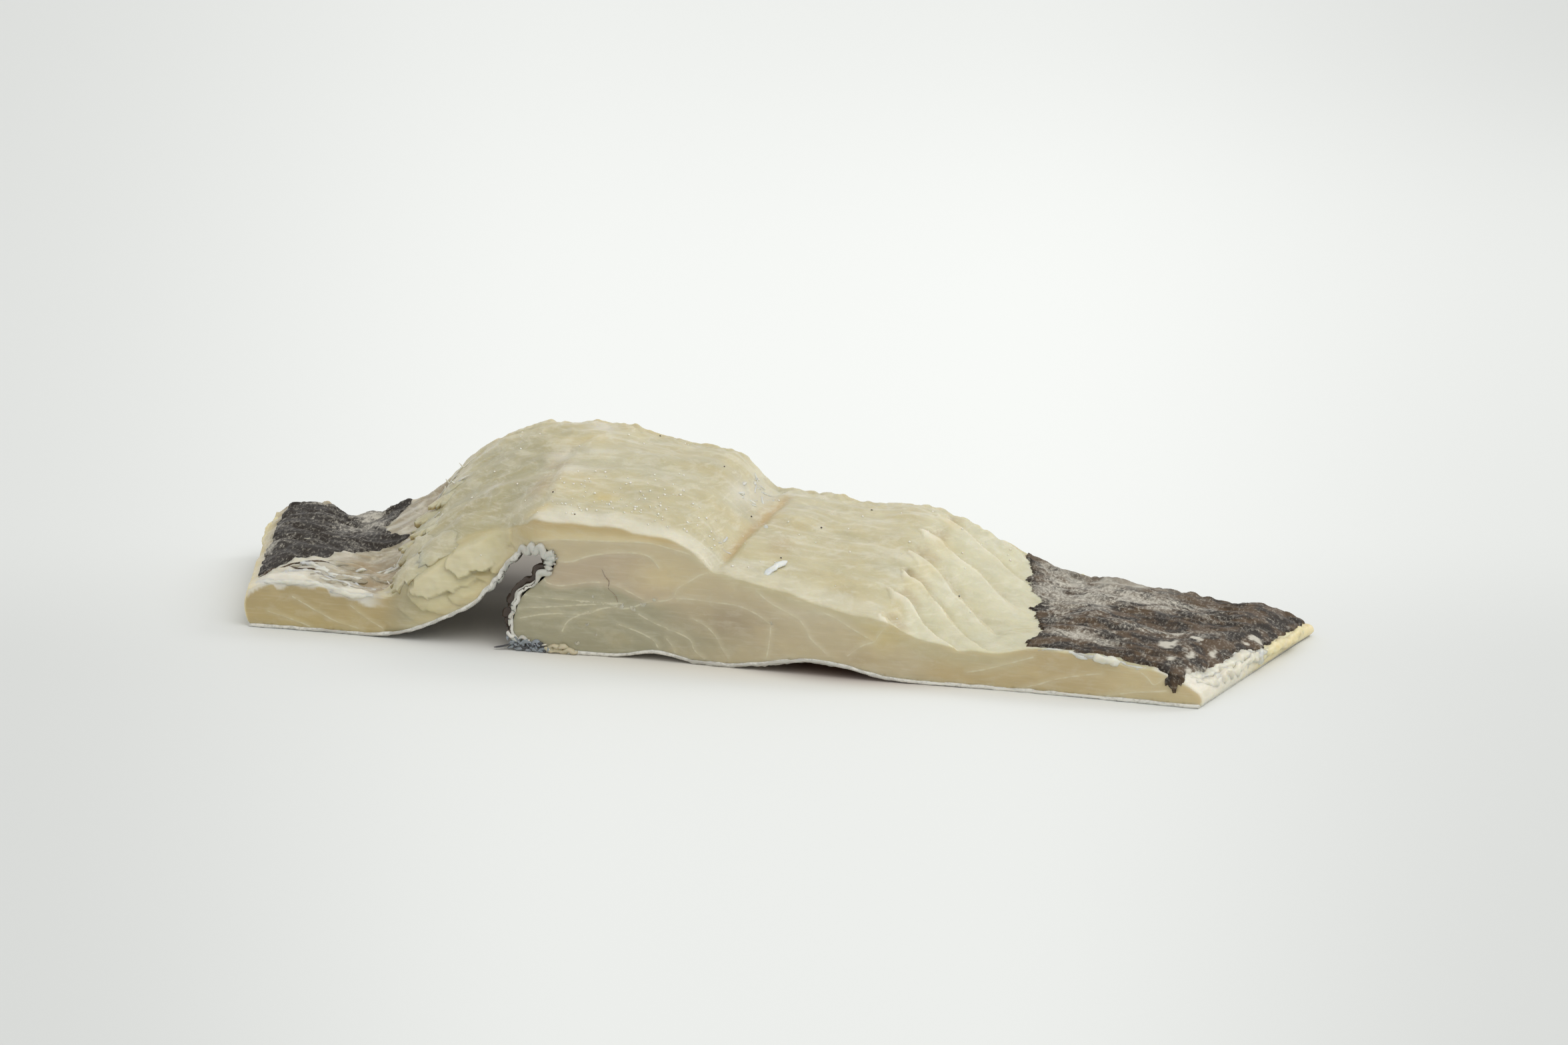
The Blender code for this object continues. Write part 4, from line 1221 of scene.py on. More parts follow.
def signed_distance(x, y, corners):
    """How far points lie inside a many-sided region seen from above, less than 0 outside it."""
    flat = np.column_stack([np.ravel(x), np.ravel(y)])
    ring = np.array(corners, float)
    away = distance_to_lines(flat, [np.vstack([ring, ring[:1]])])
    return np.where(inside(flat, ring), away, -away).reshape(np.shape(x))


def surface_grid(first, last, near, far, step):
    """Points of the flesh's top between two landmarks and two depth shares, with their upward normals."""
    rows = np.array(FLESH, float)
    fine = np.linspace(first, last, 400)
    middle = 0.5 * (curve_through(rows[:, :2], fine) + curve_through(rows[:, 2:], fine))
    total = np.concatenate([[0.0], np.cumsum(np.linalg.norm(np.diff(middle, axis=0), axis=1))])
    at = np.interp(np.arange(0.0, total[-1], step), total, fine)
    shares = np.arange(near, far, step / DEPTH)
    points = np.stack([flesh_line(at, v) for v in shares])
    normal = np.cross(np.gradient(points, axis=1), np.gradient(points, axis=0))
    return points, normal / np.linalg.norm(normal, axis=2)[..., None]


def closed_film(name, top, bottom, kept, material):
    """A closed thin shell over the kept cells of a grid of points."""
    rows, columns = top.shape[:2]
    number = np.arange(rows * columns).reshape(rows, columns)
    corners = np.stack([number[:-1, :-1], number[:-1, 1:], number[1:, 1:], number[1:, :-1]], axis=-1)[kept]
    edges = {}
    for a, b, c, d in corners.tolist():
        for edge in ((a, b), (b, c), (c, d), (d, a)):
            edges[edge] = True
    used = np.unique(corners)
    renumber = np.full(rows * columns, -1)
    renumber[used] = np.arange(len(used))
    over = renumber[corners]
    faces = over.tolist() + (over[:, ::-1] + len(used)).tolist()
    for a, b in edges:
        if (b, a) not in edges:
            a, b = int(renumber[a]), int(renumber[b])
            faces.append([b, a, a + len(used), b + len(used)])
    points = np.vstack([top.reshape(-1, 3)[used], bottom.reshape(-1, 3)[used]])
    return add_piece(name, points, faces, material), used


def add_film(name, grid, inside_by, lift, material, pale, spotted):
    """A thin skin that lies on the flesh and dives into it at its edge, with what its shader reads."""
    points, normal = grid
    share = smoothstep(-FILM_BLUR, FILM_BLUR, inside_by)
    top = points + normal * (lift * share - FILM_SINK * (1 - share))[..., None]
    bottom = points - normal * FILM_BOTTOM
    near = inside_by > -2 * FILM_BLUR - 0.3
    kept = near[:-1, :-1] | near[:-1, 1:] | near[1:, :-1] | near[1:, 1:]
    piece, used = closed_film(name, top, bottom, kept, material)
    set_numbers(piece.data, "pale", np.tile(np.clip(pale, 0, 1).ravel()[used], 2))
    set_numbers(piece.data, "spotted", np.tile(spotted.ravel()[used], 2))


def right_lining_inside(x, y):
    """How far points lie inside the right lining, with its torn and toothed edges."""
    inside_by = signed_distance(x, y, RIGHT_LINING)
    inside_by = inside_by + 1.1 * layered_noise(stack(x / 4.0, y / 3.0, 2.0), 3, 71)
    teeth = shingle(y / 5.3, 0.6) + 0.8 * shingle(y / 2.1, 0.4) - 0.9
    inside_by = inside_by + fading(238, 248, x) * teeth
    torn = layered_noise(stack(x / 5.0, y / 3.0, 12.0), 2, 74)
    return inside_by - 3.0 * fading(2, 6, y) * smoothstep(0.0, 0.5, torn) * smoothstep(244, 250, x)


def build_right_lining(material):
    """The dark belly lining on the right flap, pale in its middle, with white spots at its right end."""
    grid = surface_grid(*RIGHT_LINING_SPAN, FILM_STEP)
    points = grid[0]
    x, y, _ = np.moveaxis(points, -1, 0)
    wrinkles = layered_noise(stack(x / 9.0, y / 2.2, 4.0), 3, 73)
    folded = 1 - np.abs(layered_noise(stack(x / 16.0, y / 5.0, 6.0), 2, 79))
    lift = 0.3 + 0.3 * wrinkles + 0.5 * folded
    pale = sum(spot(points, centre, radius) for centre, radius in RIGHT_LINING_PALE)
    spots = [fading(0.8, 1.2, radius_from(x, y, spot_at)) for spot_at in RIGHT_LINING_SPOTS]
    beige = 0.6 + 0.7 * layered_noise(stack(x / 5.0, y / 3.0, 8.0), 3, 78)
    beige = np.clip(beige, 0, 1) * np.clip(1.2 * spot(points, (251, 75, 12), (15, 8, 20)), 0, 0.85)
    spotted = np.maximum(np.max(spots, axis=0), beige)
    add_film("belly_lining_right", grid, right_lining_inside(x, y), lift, material, pale, spotted)


def radius_from(x, y, spot_at):
    """How far points lie from a spot's centre, in radii of the spot."""
    centre_x, centre_y, along, across = spot_at
    ragged = 0.75 * layered_noise(stack(x / 1.8, y / 1.8, 3.0), 3, 76)
    return np.hypot((x - centre_x) / along, (y - centre_y) / across) + ragged + 0.25


def build_left_lining(material):
    """The dark belly lining on the left flap."""
    grid = surface_grid(*LEFT_LINING_SPAN, FILM_STEP)
    points = grid[0]
    x, y, _ = np.moveaxis(points, -1, 0)
    inside_by = signed_distance(x, y, LEFT_LINING)
    inside_by = inside_by + 1.2 * layered_noise(stack(x / 4.0, y / 3.0, 2.0), 3, 75)
    lift = 0.45 + 0.5 * layered_noise(stack(x / 8.0, y / 2.0, 4.0), 3, 77)
    pale = sum(spot(points, centre, radius) for centre, radius in LEFT_LINING_PALE)
    add_film("belly_lining_left", grid, inside_by, lift, material, pale, 0 * x)


def skin_parameters():
    """Places along the skin, closer together in the crease where it is ruffled."""
    fine = spread(SKIN, SKIN_STEPS)
    in_crease = (fine > CREASE_SPAN[0]) & (fine < CREASE_SPAN[1])
    every_third = np.arange(len(fine)) % 3 == 0
    kept = in_crease | every_third
    length = np.arange(len(fine)) * SKIN_LENGTH / SKIN_STEPS
    return fine[kept], length[kept]


def skin_row(at, length, v):
    """The skin's outer line at one depth share with its ruffles, the unit vectors that point inwards, and a
    share for painted shade in the valleys between the ruffles.
    """
    line = outline(SKIN, at, v)
    line[:, 1] = np.maximum(line[:, 1], 0.0)
    tangent = np.gradient(line, axis=0)
    inwards = np.column_stack([-tangent[:, 1], tangent[:, 0]])
    for _ in range(4):
        inwards[1:-1] = (inwards[:-2] + inwards[1:-1] + inwards[2:]) / 3
    inwards /= np.linalg.norm(inwards, axis=1)[:, None]
    ruffled = band(at, *RUFFLES_SPAN)
    y = DEPTH * v
    phase = length / RUFFLE_PITCH + 1.3 * soft_noise(stack(length / 9.0, y / 14.0, 1.0), 81)
    uneven = 0.8 + 0.3 * soft_noise(stack(length / 7.0, 0.5, 0.5), 82)
    roll = (0.5 - 0.5 * np.cos(2 * math.pi * phase)) * uneven
    fade = 0.3 + 0.7 * math.exp(-y / 16.0)
    at_top = band(at, *TOP_SPAN)
    swell = RUFFLE_HEIGHT * ruffled * fade * roll * (0.3 + 0.7 * at_top)
    swell = swell + 0.25 * layered_noise(stack(length / 3.0, y / 5.0, 2.0), 2, 83) * (0.4 + ruffled)
    on_right_wall = band(at, *RIGHT_WALL_SPAN)
    flare = bump(y - FLARE_Y, FLARE_Y) * (0.7 + 0.6 * layered_noise(stack(length / 4.0, y / 2.0, 5.0), 2, 84))
    swell = swell + FLARE * on_right_wall * flare
    line = line - inwards * swell[:, None]
    line[:, 1] = np.maximum(line[:, 1], 0.0)
    valley = np.clip(1 - 2.2 * roll, 0, 1)
    return line, inwards, ruffled * valley * (0.4 + 0.6 * at_top)


def build_skin(material):
    """The fish's skin, a closed shell under the flesh whose cut edge shows as a pale wavy rim."""
    at, length = skin_parameters()
    ruffled = band(at, *RUFFLES_SPAN)
    thick = SKIN_THICK + (RIM_THICK - SKIN_THICK) * ruffled
    thick = thick * (1 + 0.2 * soft_noise(stack(length / 4.0, 0.0, 7.0), 85))
    overhang = 0.45 + 0.35 * soft_noise(stack(length / 5.0, 0.0, 3.0), 87) + 0.3 * ruffled
    shares = np.linspace(0.0, 1.0, SKIN_ROWS)
    outer = []
    inner = []
    front_line, front_in, valley = skin_row(at, length, 0.0)
    back_line, back_in, _ = skin_row(at, length, 1.0)
    y_near = front_y(*front_line.T) - overhang + thick / 2
    y_far = back_y(*back_line.T) - thick / 2
    for v in shares:
        line, inwards, _ = skin_row(at, length, v)
        y = y_near * (1 - v) + y_far * v
        outer.append(stack(line[:, 0], y, line[:, 1]))
        deep = line + inwards * thick[:, None]
        inner.append(stack(deep[:, 0], y, deep[:, 1]))
    turns = np.linspace(0, math.pi, 7)[1:-1]

    def rim(line, inwards, y, forward):
        made = []
        for turn in turns:
            in_by = thick / 2 * (1 - math.cos(turn))
            place = line + inwards * in_by[:, None]
            made.append(stack(place[:, 0], y - forward * thick / 2 * math.sin(turn), place[:, 1]))
        return made

    back_rim = rim(back_line, back_in, y_far, -1)
    front_rim = rim(front_line, front_in, y_near, 1)
    hidden = inner[::-4]
    rings = outer + back_rim + hidden + front_rim[::-1]
    across = [(1 - math.cos(turn)) / 2 for turn in turns]
    on_rim = [0.0] * len(outer) + across + [1.0] * len(hidden) + across[::-1]
    count = len(rings)
    points, faces = closed_tube(rings)
    piece = add_piece("skin", points, faces, material)
    at_end = smoothstep(at[-1] - 0.5, at[-1] - 0.2, at)
    set_numbers(piece.data, "rim", np.maximum(np.tile(on_rim, len(at)), np.repeat(at_end, count)))
    set_numbers(piece.data, "valley", np.repeat(valley, count))
    # Painted brown shade on the crease's right wall, weaker over the ruffles.
    right_wall = band(at, *CREASE_SHADE_SPAN)
    set_numbers(piece.data, "brown", np.repeat(np.maximum(right_wall, 0.4 * ruffled), count))


def skin_material():
    """Cod skin: mottled grey outside, and pale where it is cut, with painted brown shade in its folds and on
    the crease's right wall.
    """
    s = Shader("cod_skin")
    mottle = s.noise((6, 6, 6), detail=5, roughness=0.6)
    colour = s.mix(s.ramp(mottle, 0.4, 0.6), SKIN_DARK, SKIN_PALE)
    fine = s.noise((1.2, 1.2, 1.2), detail=3)
    across = s.plus(s.attribute("rim"), s.ramp(fine, 0.3, 0.7, -0.16, 0.16))
    brown = s.attribute("brown")
    limit = s.plus(0.04, s.times(brown, 0.4))
    pale = s.ramp(across, s.minus(limit, 0.04), s.plus(limit, 0.08))
    # Painted brown shade in the crease.
    colour = s.mix(s.times(brown, 0.85), colour, SKIN_FOLD_SHADE)
    rim_colour = s.mix(s.ramp(fine, 0.3, 0.6), SKIN_RIM_GREY, SKIN_RIM)
    # Painted brown shade in the valleys between the rim's ruffles.
    rim_colour = s.mix(s.times(s.attribute("valley"), 0.5), rim_colour, SKIN_FOLD_SHADE)
    colour = s.mix(pale, colour, rim_colour)
    s.surface(Base_Color=colour, Roughness=0.38, Normal=s.relief(fine, 0.00012, 0.5))
    s.surface(Subsurface_Weight=0.15, Subsurface_Radius=(1.0, 0.8, 0.6), Subsurface_Scale=0.0015)
    return s.material


def lining_material(name, darkest, brownish):
    """Peritoneum: nearly black, clouded brown, and broken up by pale fibres that run along the flap."""
    s = Shader(name)
    bend = s.node("ShaderNodeVectorMath", operation="ADD")
    swirl = s.noise((16, 16, 16), detail=2)
    shift = s.node("ShaderNodeCombineXYZ")
    s.feed(shift.inputs[1], s.ramp(swirl, 0.2, 0.8, -0.008, 0.008))
    s.feed(bend.inputs[0], s.place())
    s.feed(bend.inputs[1], shift.outputs[0])
    bent = bend.outputs[0]
    fibres = s.noise((13, 2.6, 3.5), detail=6, roughness=0.66, vector=bent)
    clouds = s.noise((17, 9, 12), detail=5, roughness=0.62, vector=bent)
    salt = s.noise((0.9, 1.6, 0.9), detail=3, roughness=0.7)
    patches = s.noise((6, 5, 6), detail=4)
    zone = s.attribute("pale")
    mixed = s.plus(s.times(fibres, 0.42), s.times(clouds, 0.38))
    mixed = s.plus(mixed, s.times(salt, 0.2))
    mixed = s.plus(mixed, s.times(zone, 0.15))
    pale = s.ramp(mixed, 0.52, 0.71)
    dark = s.mix(s.ramp(patches, 0.4, 0.6), darkest, brownish)
    colour = s.mix(s.times(pale, 0.92), dark, LINING_PALE)
    grains = s.times(s.ramp(salt, 0.5, 0.66), s.plus(0.22, s.times(zone, 0.4)))
    colour = s.mix(grains, colour, LINING_SALT)
    pepper = s.times(s.ramp(salt, 0.5, 0.36), s.ramp(pale, 0.0, 1.0, 0.0, 0.55))
    colour = s.mix(pepper, colour, brownish)
    colour = s.mix(s.times(s.attribute("spotted"), 0.85), colour, SPOT_PALE)
    s.surface(Base_Color=colour, Roughness=0.5, Specular_IOR_Level=0.22)
    s.surface(Normal=s.relief(fibres, 0.0006, 0.6))
    return s.material


def unit(vector):
    """The vector at length 1."""
    vector = np.asarray(vector, float)
    return vector / np.linalg.norm(vector)


class Heap:
    """Gathers many small closed shapes into one piece."""

    def __init__(self):
        self.points = []
        self.faces = []
        self.colours = []
        self.count = 0

    def add(self, points, faces, colours):
        """Takes in one more shape."""
        self.faces += [tuple(self.count + i for i in face) for face in faces]
        self.points.append(points)
        self.colours.append(np.zeros((len(points), 3)) + colours)
        self.count += len(points)

    def finish(self, name, material):
        """Makes the piece, with what the flesh's shader reads."""
        points = np.vstack(self.points)
        piece = add_piece(name, points, self.faces, material)
        set_colours(piece.data, "paint", np.vstack(self.colours))
        set_numbers(piece.data, "seam", np.full(len(points), NO_SEAM))


def surface_under(body, start, heading, reach):
    """How far along a heading the flesh lies from a start, or the given reach where there is none."""
    hit = body.ray_cast(Vector(start), Vector(heading))
    return hit[3] if hit[0] is not None else reach


def height_under(body, x, y):
    """How high the flesh reaches at a place seen from above."""
    return CAST_FROM - surface_under(body, (x, y, CAST_FROM), (0, 0, -1), CAST_REACH)


def front_at(x, z):
    """Where the front face lies at one point."""
    return float(front_y(np.array([x]), np.array([z]))[0])


def leaf(heap, body, centre, heading, along, size, lift, thick, colour, ragged=0.22, seed=0):
    """A smooth thin flake on the flesh, whose root sinks in and whose ragged free end stands off."""
    heading = unit(heading)
    along = unit(np.asarray(along) - np.dot(along, heading) * heading)
    across = np.cross(heading, along)
    centre = np.asarray(centre, float)
    level = surface_under(body, centre - LEAF_CAST * heading, heading, LEAF_CAST)
    turns = np.linspace(0, 2 * math.pi, LEAF_TURNS, endpoint=False)
    circle = stack(1.6 * np.cos(turns), 1.6 * np.sin(turns), seed + 0.5)
    free = smoothstep(-0.3, 0.7, np.cos(turns))
    uneven = soft_noise(circle, 91) + 0.7 * layered_noise(circle * 5, 2, 92)
    edge = 1 + ragged * (0.35 + 0.65 * free) * uneven
    out = (1 - (1 - np.arange(1, LEAF_RINGS + 1) / LEAF_RINGS) ** 1.5)[:, None]
    p = np.append(0.0, (size[0] / 2 * out * edge * np.cos(turns)).ravel())
    q = np.append(0.0, (size[1] / 2 * out * edge * np.sin(turns)).ravel())
    r = np.append(0.0, (out + 0 * turns).ravel())
    starts = centre + along * p[:, None] + across * q[:, None] - LEAF_CAST * heading
    deep = np.array([surface_under(body, start, heading, 2 * LEAF_CAST) for start in starts])
    deep = np.minimum(deep, level + LEAF_DROOP * np.hypot(p, q))
    terms = np.column_stack([np.ones(len(p)), p, q, p * p, p * q, q * q])
    smooth = terms @ np.linalg.lstsq(terms, deep, rcond=None)[0]
    rise = (lift + LEAF_SINK) * smoothstep(-0.9, 0.7, p / (size[0] / 2)) - LEAF_SINK
    dome = 1 - r**2.4
    top = starts + heading * (smooth - rise - thick * dome)[:, None]
    bottom = starts + heading * (smooth + LEAF_BELOW)[:, None]
    last = 1 + (LEAF_RINGS - 1) * LEAF_TURNS
    under = len(p)
    points = np.vstack([top, bottom[:1], bottom[last:]])
    faces = []
    for k in range(LEAF_TURNS):
        j = (k + 1) % LEAF_TURNS
        faces.append((0, 1 + j, 1 + k))
        for ring in range(LEAF_RINGS - 1):
            a, b = 1 + ring * LEAF_TURNS, 1 + (ring + 1) * LEAF_TURNS
            faces.append((a + k, a + j, b + j, b + k))
        b = under + 1
        faces.append((last + k, last + j, b + j, b + k))
        faces.append((under, b + k, b + j))
    tint = layered_noise(points / 4.0, 2, seed + 93)
    at_edge = smoothstep(0.75, 1.0, np.append(r, np.append(0.0, r[last:])))
    at_end = np.append(0.0, np.tile(free, LEAF_RINGS))
    at_end = np.append(at_end, np.append(0.0, free))
    # Painted highlight on the free end's edge, over a random pale tint.
    share = 0.08 + 0.35 * tint + 0.2 * at_edge * at_end
    paint = blend_in(np.zeros((len(points), 3)) + linear(colour), SEAM_AND_HIGHLIGHT_WHITE, share)
    # Painted warm shade on the flake's underside.
    paint[under:] = linear(UNDER_FLAKE_SHADE) if colour[2] < 170 else linear(colour)
    heap.add(points, faces, paint)


def cord(heap, path, radius, colour, squash=1.0, seed=0, step=0.6, lumpy=0.35):
    """A closed lumpy strand along a path."""
    line = smooth_line(path, step)
    tangent = np.gradient(line, axis=0)
    tangent /= np.linalg.norm(tangent, axis=1)[:, None] + 1e-9
    side = np.cross(tangent, (0.0, 0.0, 1.0))
    side /= np.linalg.norm(side, axis=1)[:, None] + 1e-9
    up = np.cross(side, tangent)
    share = np.linspace(0, 1, len(line))
    taper = np.clip(np.minimum(share, 1 - share) * 8, 0.12, 1) ** 0.5
    turns = np.linspace(0, 2 * math.pi, CORD_TURNS, endpoint=False)
    lines = []
    for turn in turns:
        round_at = line / 2.2 + np.array((3 * math.cos(turn), 3 * math.sin(turn), seed))
        r = radius * taper * (1 + lumpy * layered_noise(round_at, 2, 95))
        aside = side * (r * math.cos(turn))[:, None]
        lines.append(line + aside + up * (squash * r * math.sin(turn))[:, None])
    heap.add(*closed_tube(lines), linear(colour))


def laid(body, path, sink):
    """A path seen from above, laid on the flesh and sunk into it a little."""
    line = smooth_line([(x, y, 0.0) for x, y in path], 2.0)
    return [(x, y, height_under(body, x, y) - sink) for x, y, _ in line]


def build_flakes(body, material):
    """Loose flakes on the broken shoulder and along its torn edge."""
    heap = Heap()
    chance = np.random.default_rng(5)
    for number, (centre, along, size, lift) in enumerate(LAPPING_FLAKES):
        leaf(heap, body, centre, (0.3, 0.5, -0.8), along, size, lift, 0.9, SHOULDER_TOP, 0.6, number)
    for y in np.arange(24.0, 52.0, 4.4):
        x = float(torn_edge_x(y)) + 1.5 + chance.uniform(-1.5, 2.5)
        turn = chance.uniform(-0.9, 0.5)
        size = (chance.uniform(9, 15), chance.uniform(4.5, 7.5))
        lift = chance.uniform(0.3, 1.1)
        place = (x, y + chance.uniform(-1.5, 1.5), 25)
        along = (-math.cos(turn), math.sin(turn) - 0.25, -0.3)
        leaf(heap, body, place, (0.12, 0.15, -1), along, size, lift, 0.7, SHOULDER_TOP, 0.7, 20 + int(10 * y))
    for number, y in enumerate(np.arange(9.0, 74.0, 4.4)):
        x = float(torn_edge_x(y)) + chance.uniform(-1.5, 2.5)
        line = laid(body, [(x + 2.5, y + 0.5), (x, y), (x - 1.5, y - 0.6)], -0.6)
        tip = (x - 2.2 + chance.uniform(-1, 0.6), y - 1.0, line[-1][2] + chance.uniform(0.2, 1.6))
        cord(heap, line + [tip], chance.uniform(0.25, 0.5), FAT_WHITE, 0.6, number, 0.4, 0.5)
    heap.finish("loose_flakes", material)


def add_flap_strands(heap, body, chance):
    """White strands on the left flap, where the dark lining doesn't cover it."""
    for number in range(TISSUE_STRANDS):
        x, y = chance.uniform(6, 38), chance.uniform(3, 26)
        if signed_distance(x, y, LEFT_LINING) > -1:
            continue
        reach = chance.uniform(6, 13)
        drift = chance.uniform(-0.1, 0.5) * reach
        shares = (0, 0.35, 0.7, 1)
        path = [(x + t * reach, y + t * drift + 0.8 * math.sin(5 * t + number)) for t in shares]
        colour = FAT_WHITE if chance.random() < 0.4 else FLAP_TISSUE
        cord(heap, laid(body, path, 0.45), chance.uniform(0.7, 1.3), colour, 0.55, number, lumpy=0.8)


def add_groove_strands(heap, body, chance):
    """Short strands of tissue that stand by the groove."""
    for x, y, reach, count in GROOVE_TISSUE:
        for number in range(count):
            start_x, start_y = x + reach * chance.normal(0, 0.4), y + reach * chance.normal(0, 0.6)
            turn = chance.uniform(0.6, 2.2)
            long = chance.uniform(2.0, 4.5)
            path = []
            for t in (0, 0.5, 1):
                path.append((start_x + long * t * math.cos(turn), start_y + long * t * math.sin(turn)))
            colour = FAT_WHITE if chance.random() < 0.5 else TOP_EDGE
            cord(heap, laid(body, path, 0.3), chance.uniform(0.4, 0.8), colour, 0.6, number, lumpy=0.7)


def build_tissue(body, material):
    """White fat and connective tissue: along the cuts' top edges, on the left flap and in the groove."""
    heap = Heap()
    for path, sink, radius, colour, squash, seed, lumpy in EDGE_STRANDS:
        cord(heap, laid(body, path, sink), radius, colour, squash, seed, lumpy=lumpy)
    chance = np.random.default_rng(11)
    add_flap_strands(heap, body, chance)
    add_groove_strands(heap, body, chance)
    cord(heap, TAG, 1.35, TAG_WHITE, 0.45, 9, lumpy=0.5)
    crack = [(x, front_at(x, z) - 0.02, z) for x, z in CUT_CRACK]
    cord(heap, crack, 0.1, CRACK_BROWN, 1.0, 14, 0.5, 0.3)
    for x, z, long, wide in CUT_BLOBS:
        size = (long, wide)
        leaf(heap, body, (x, 0, z), (0, 1, 0), (0.5, 0, 1), size, 0.05, 0.12, CUT_PALE, 0.7, int(7 * x))
    heap.finish("white_tissue", material)


def build_strand(body, material):
    """Torn dark strands of lining on the left flap, and its tongue over the right cut."""
    heap = Heap()
    for number, (path, radius) in enumerate(LINING_STRANDS, 1):
        cord(heap, laid(body, path, 0.0), radius, LINING_BLACK, 0.6, number, lumpy=0.8)
    place, heading, along = (281, 0.8, 9), (-0.2, 0.7, -0.7), (0.3, 0, -1)
    leaf(heap, body, place, heading, along, (9, 5.2), 0.3, 0.5, LINING_BLACK, 0.35, 8)
    heap.finish("lining_strands", material)


def add_folds(heap, chance):
    """Folds of frayed skin at the crease's foot, bluish grey and then cream."""
    for number, (first, last, z, colour, radius, sway) in enumerate(FRAYED_FOLDS, 1):
        path = []
        for x in np.arange(first, last, 0.9):
            height = max(0.5, z + sway * math.sin(1.9 * x + 2.3 * number) + chance.uniform(-0.25, 0.25))
            path.append((x, front_at(x, height) - 0.2 + chance.uniform(-0.35, 0.2), height))
        cord(heap, path, radius, colour, 0.8, number, 0.4, 0.7)


def add_tatters(heap, chance):
    """Short tatters that hang forward at the crease's foot, bluish on the left and cream on the right."""
    for number in range(TATTERS):
        share = 0.62 * number / TATTERS
        x = 84.5 + 21 * share + chance.uniform(-1, 1)
        z = chance.uniform(0.5, 3.2) + (1.4 if share < 0.2 else 0)
        y = front_at(x, z) - 0.5
        reach = chance.uniform(1.5, 3.0)
        side, fall = chance.uniform(-1, 1), chance.uniform(-1.0, 0.2)
        path = []
        for t in (0, 0.4, 0.8, 1.2):
            path.append((x + 0.5 * reach * t * side, y - 0.4 * t, max(0.35, z + reach * t * fall * 0.6)))
        on_left = share < 0.55
        pale, other = (TATTER_BLUE, TATTER_DARK) if on_left else (TATTER_CREAM, FAT_WHITE)
        colour = pale if chance.random() < 0.7 else other
        cord(heap, path, chance.uniform(0.25, 0.5), colour, 0.7, number, 0.4, 0.8)


def add_rim_tubes(heap):
    """The skin's thick edge along the front cut, and a brown tube of painted shadow in the pocket behind it
    in the crease.
    """
    at, length = skin_parameters()
    line, inwards, _ = skin_row(at, length, 0.0)
    for number, (first, last, radius, inset, back, colour, lumpy) in enumerate(RIM_TUBES):
        chosen = np.flatnonzero((at > first) & (at < last))[::2]
        place = line[chosen] + inset * inwards[chosen]
        place[:, 1] = np.maximum(place[:, 1], 1.3 * radius)
        y = front_y(place[:, 0], place[:, 1]) + back
        tube = list(zip(place[:, 0], y, place[:, 1]))
        cord(heap, tube, radius, colour, 1.0, 21 + number, 0.35, lumpy)


def build_tatters(material):
    """The skin's thick edge round the crease, its frayed foot and a dark spine."""
    heap = Heap()
    chance = np.random.default_rng(17)
    add_folds(heap, chance)
    add_tatters(heap, chance)
    add_rim_tubes(heap)
    cord(heap, SPINE, 0.42, TATTER_DARK, 0.6, 3, 0.4, 0.3)
    heap.finish("skin_tatters", material)


def build_grains(body, material):
    """Grains of salt that sparkle on the flesh, and a few dark specks."""
    heap = Heap()
    chance = np.random.default_rng(23)
    corners = np.array([(i, j, k) for i in (-1, 1) for j in (-1, 1) for k in (-1, 1)], float)
    sides = [(0, 1, 3, 2), (4, 6, 7, 5), (0, 4, 5, 1), (2, 3, 7, 6), (0, 2, 6, 4), (1, 5, 7, 3)]

    def place_grain(x, y, size, colour):
        spin = Matrix.Rotation(chance.uniform(0, 6), 3, Vector(chance.normal(size=3)).normalized())
        shape = (corners + chance.uniform(-0.3, 0.3, (8, 3))) * size / 2
        shape = shape @ np.array(spin).T + np.array((x, y, height_under(body, x, y) + 0.12 * size))
        heap.add(shape, sides, linear(colour))

    for number in range(SALT_GRAINS):
        if number % 5 < 3:
            x, y = chance.uniform(92, 145), chance.triangular(2, 8, 34)
        else:
            x, y = chance.uniform(60, 222), chance.uniform(3, 74)
        place_grain(x, y, chance.uniform(0.22, 0.55), GRAIN_WHITE)
    for x, y in SPECKS:
        place_grain(x, y, 0.4, SPECK_DARK)
    heap.finish("salt_grains", material)


def painted_material(name, roughness, subsurface):
    """A plain damp surface that takes its colour from the points' paint."""
    s = Shader(name)
    s.surface(Base_Color=s.attribute("paint", "Color"), Roughness=roughness)
    s.surface(Subsurface_Weight=subsurface, Subsurface_Scale=0.001)
    fine = s.noise((0.8, 0.8, 0.8), detail=2)
    s.surface(Normal=s.relief(fine, 0.0001, 0.5))
    return s


def tatter_material():
    """Frayed damp skin."""
    return painted_material("frayed_skin", 0.35, 0.1).material


def grain_material():
    """Salt, clear enough to sparkle."""
    s = painted_material("salt", 0.12, 0.1)
    s.surface(Specular_IOR_Level=0.8)
    return s.material


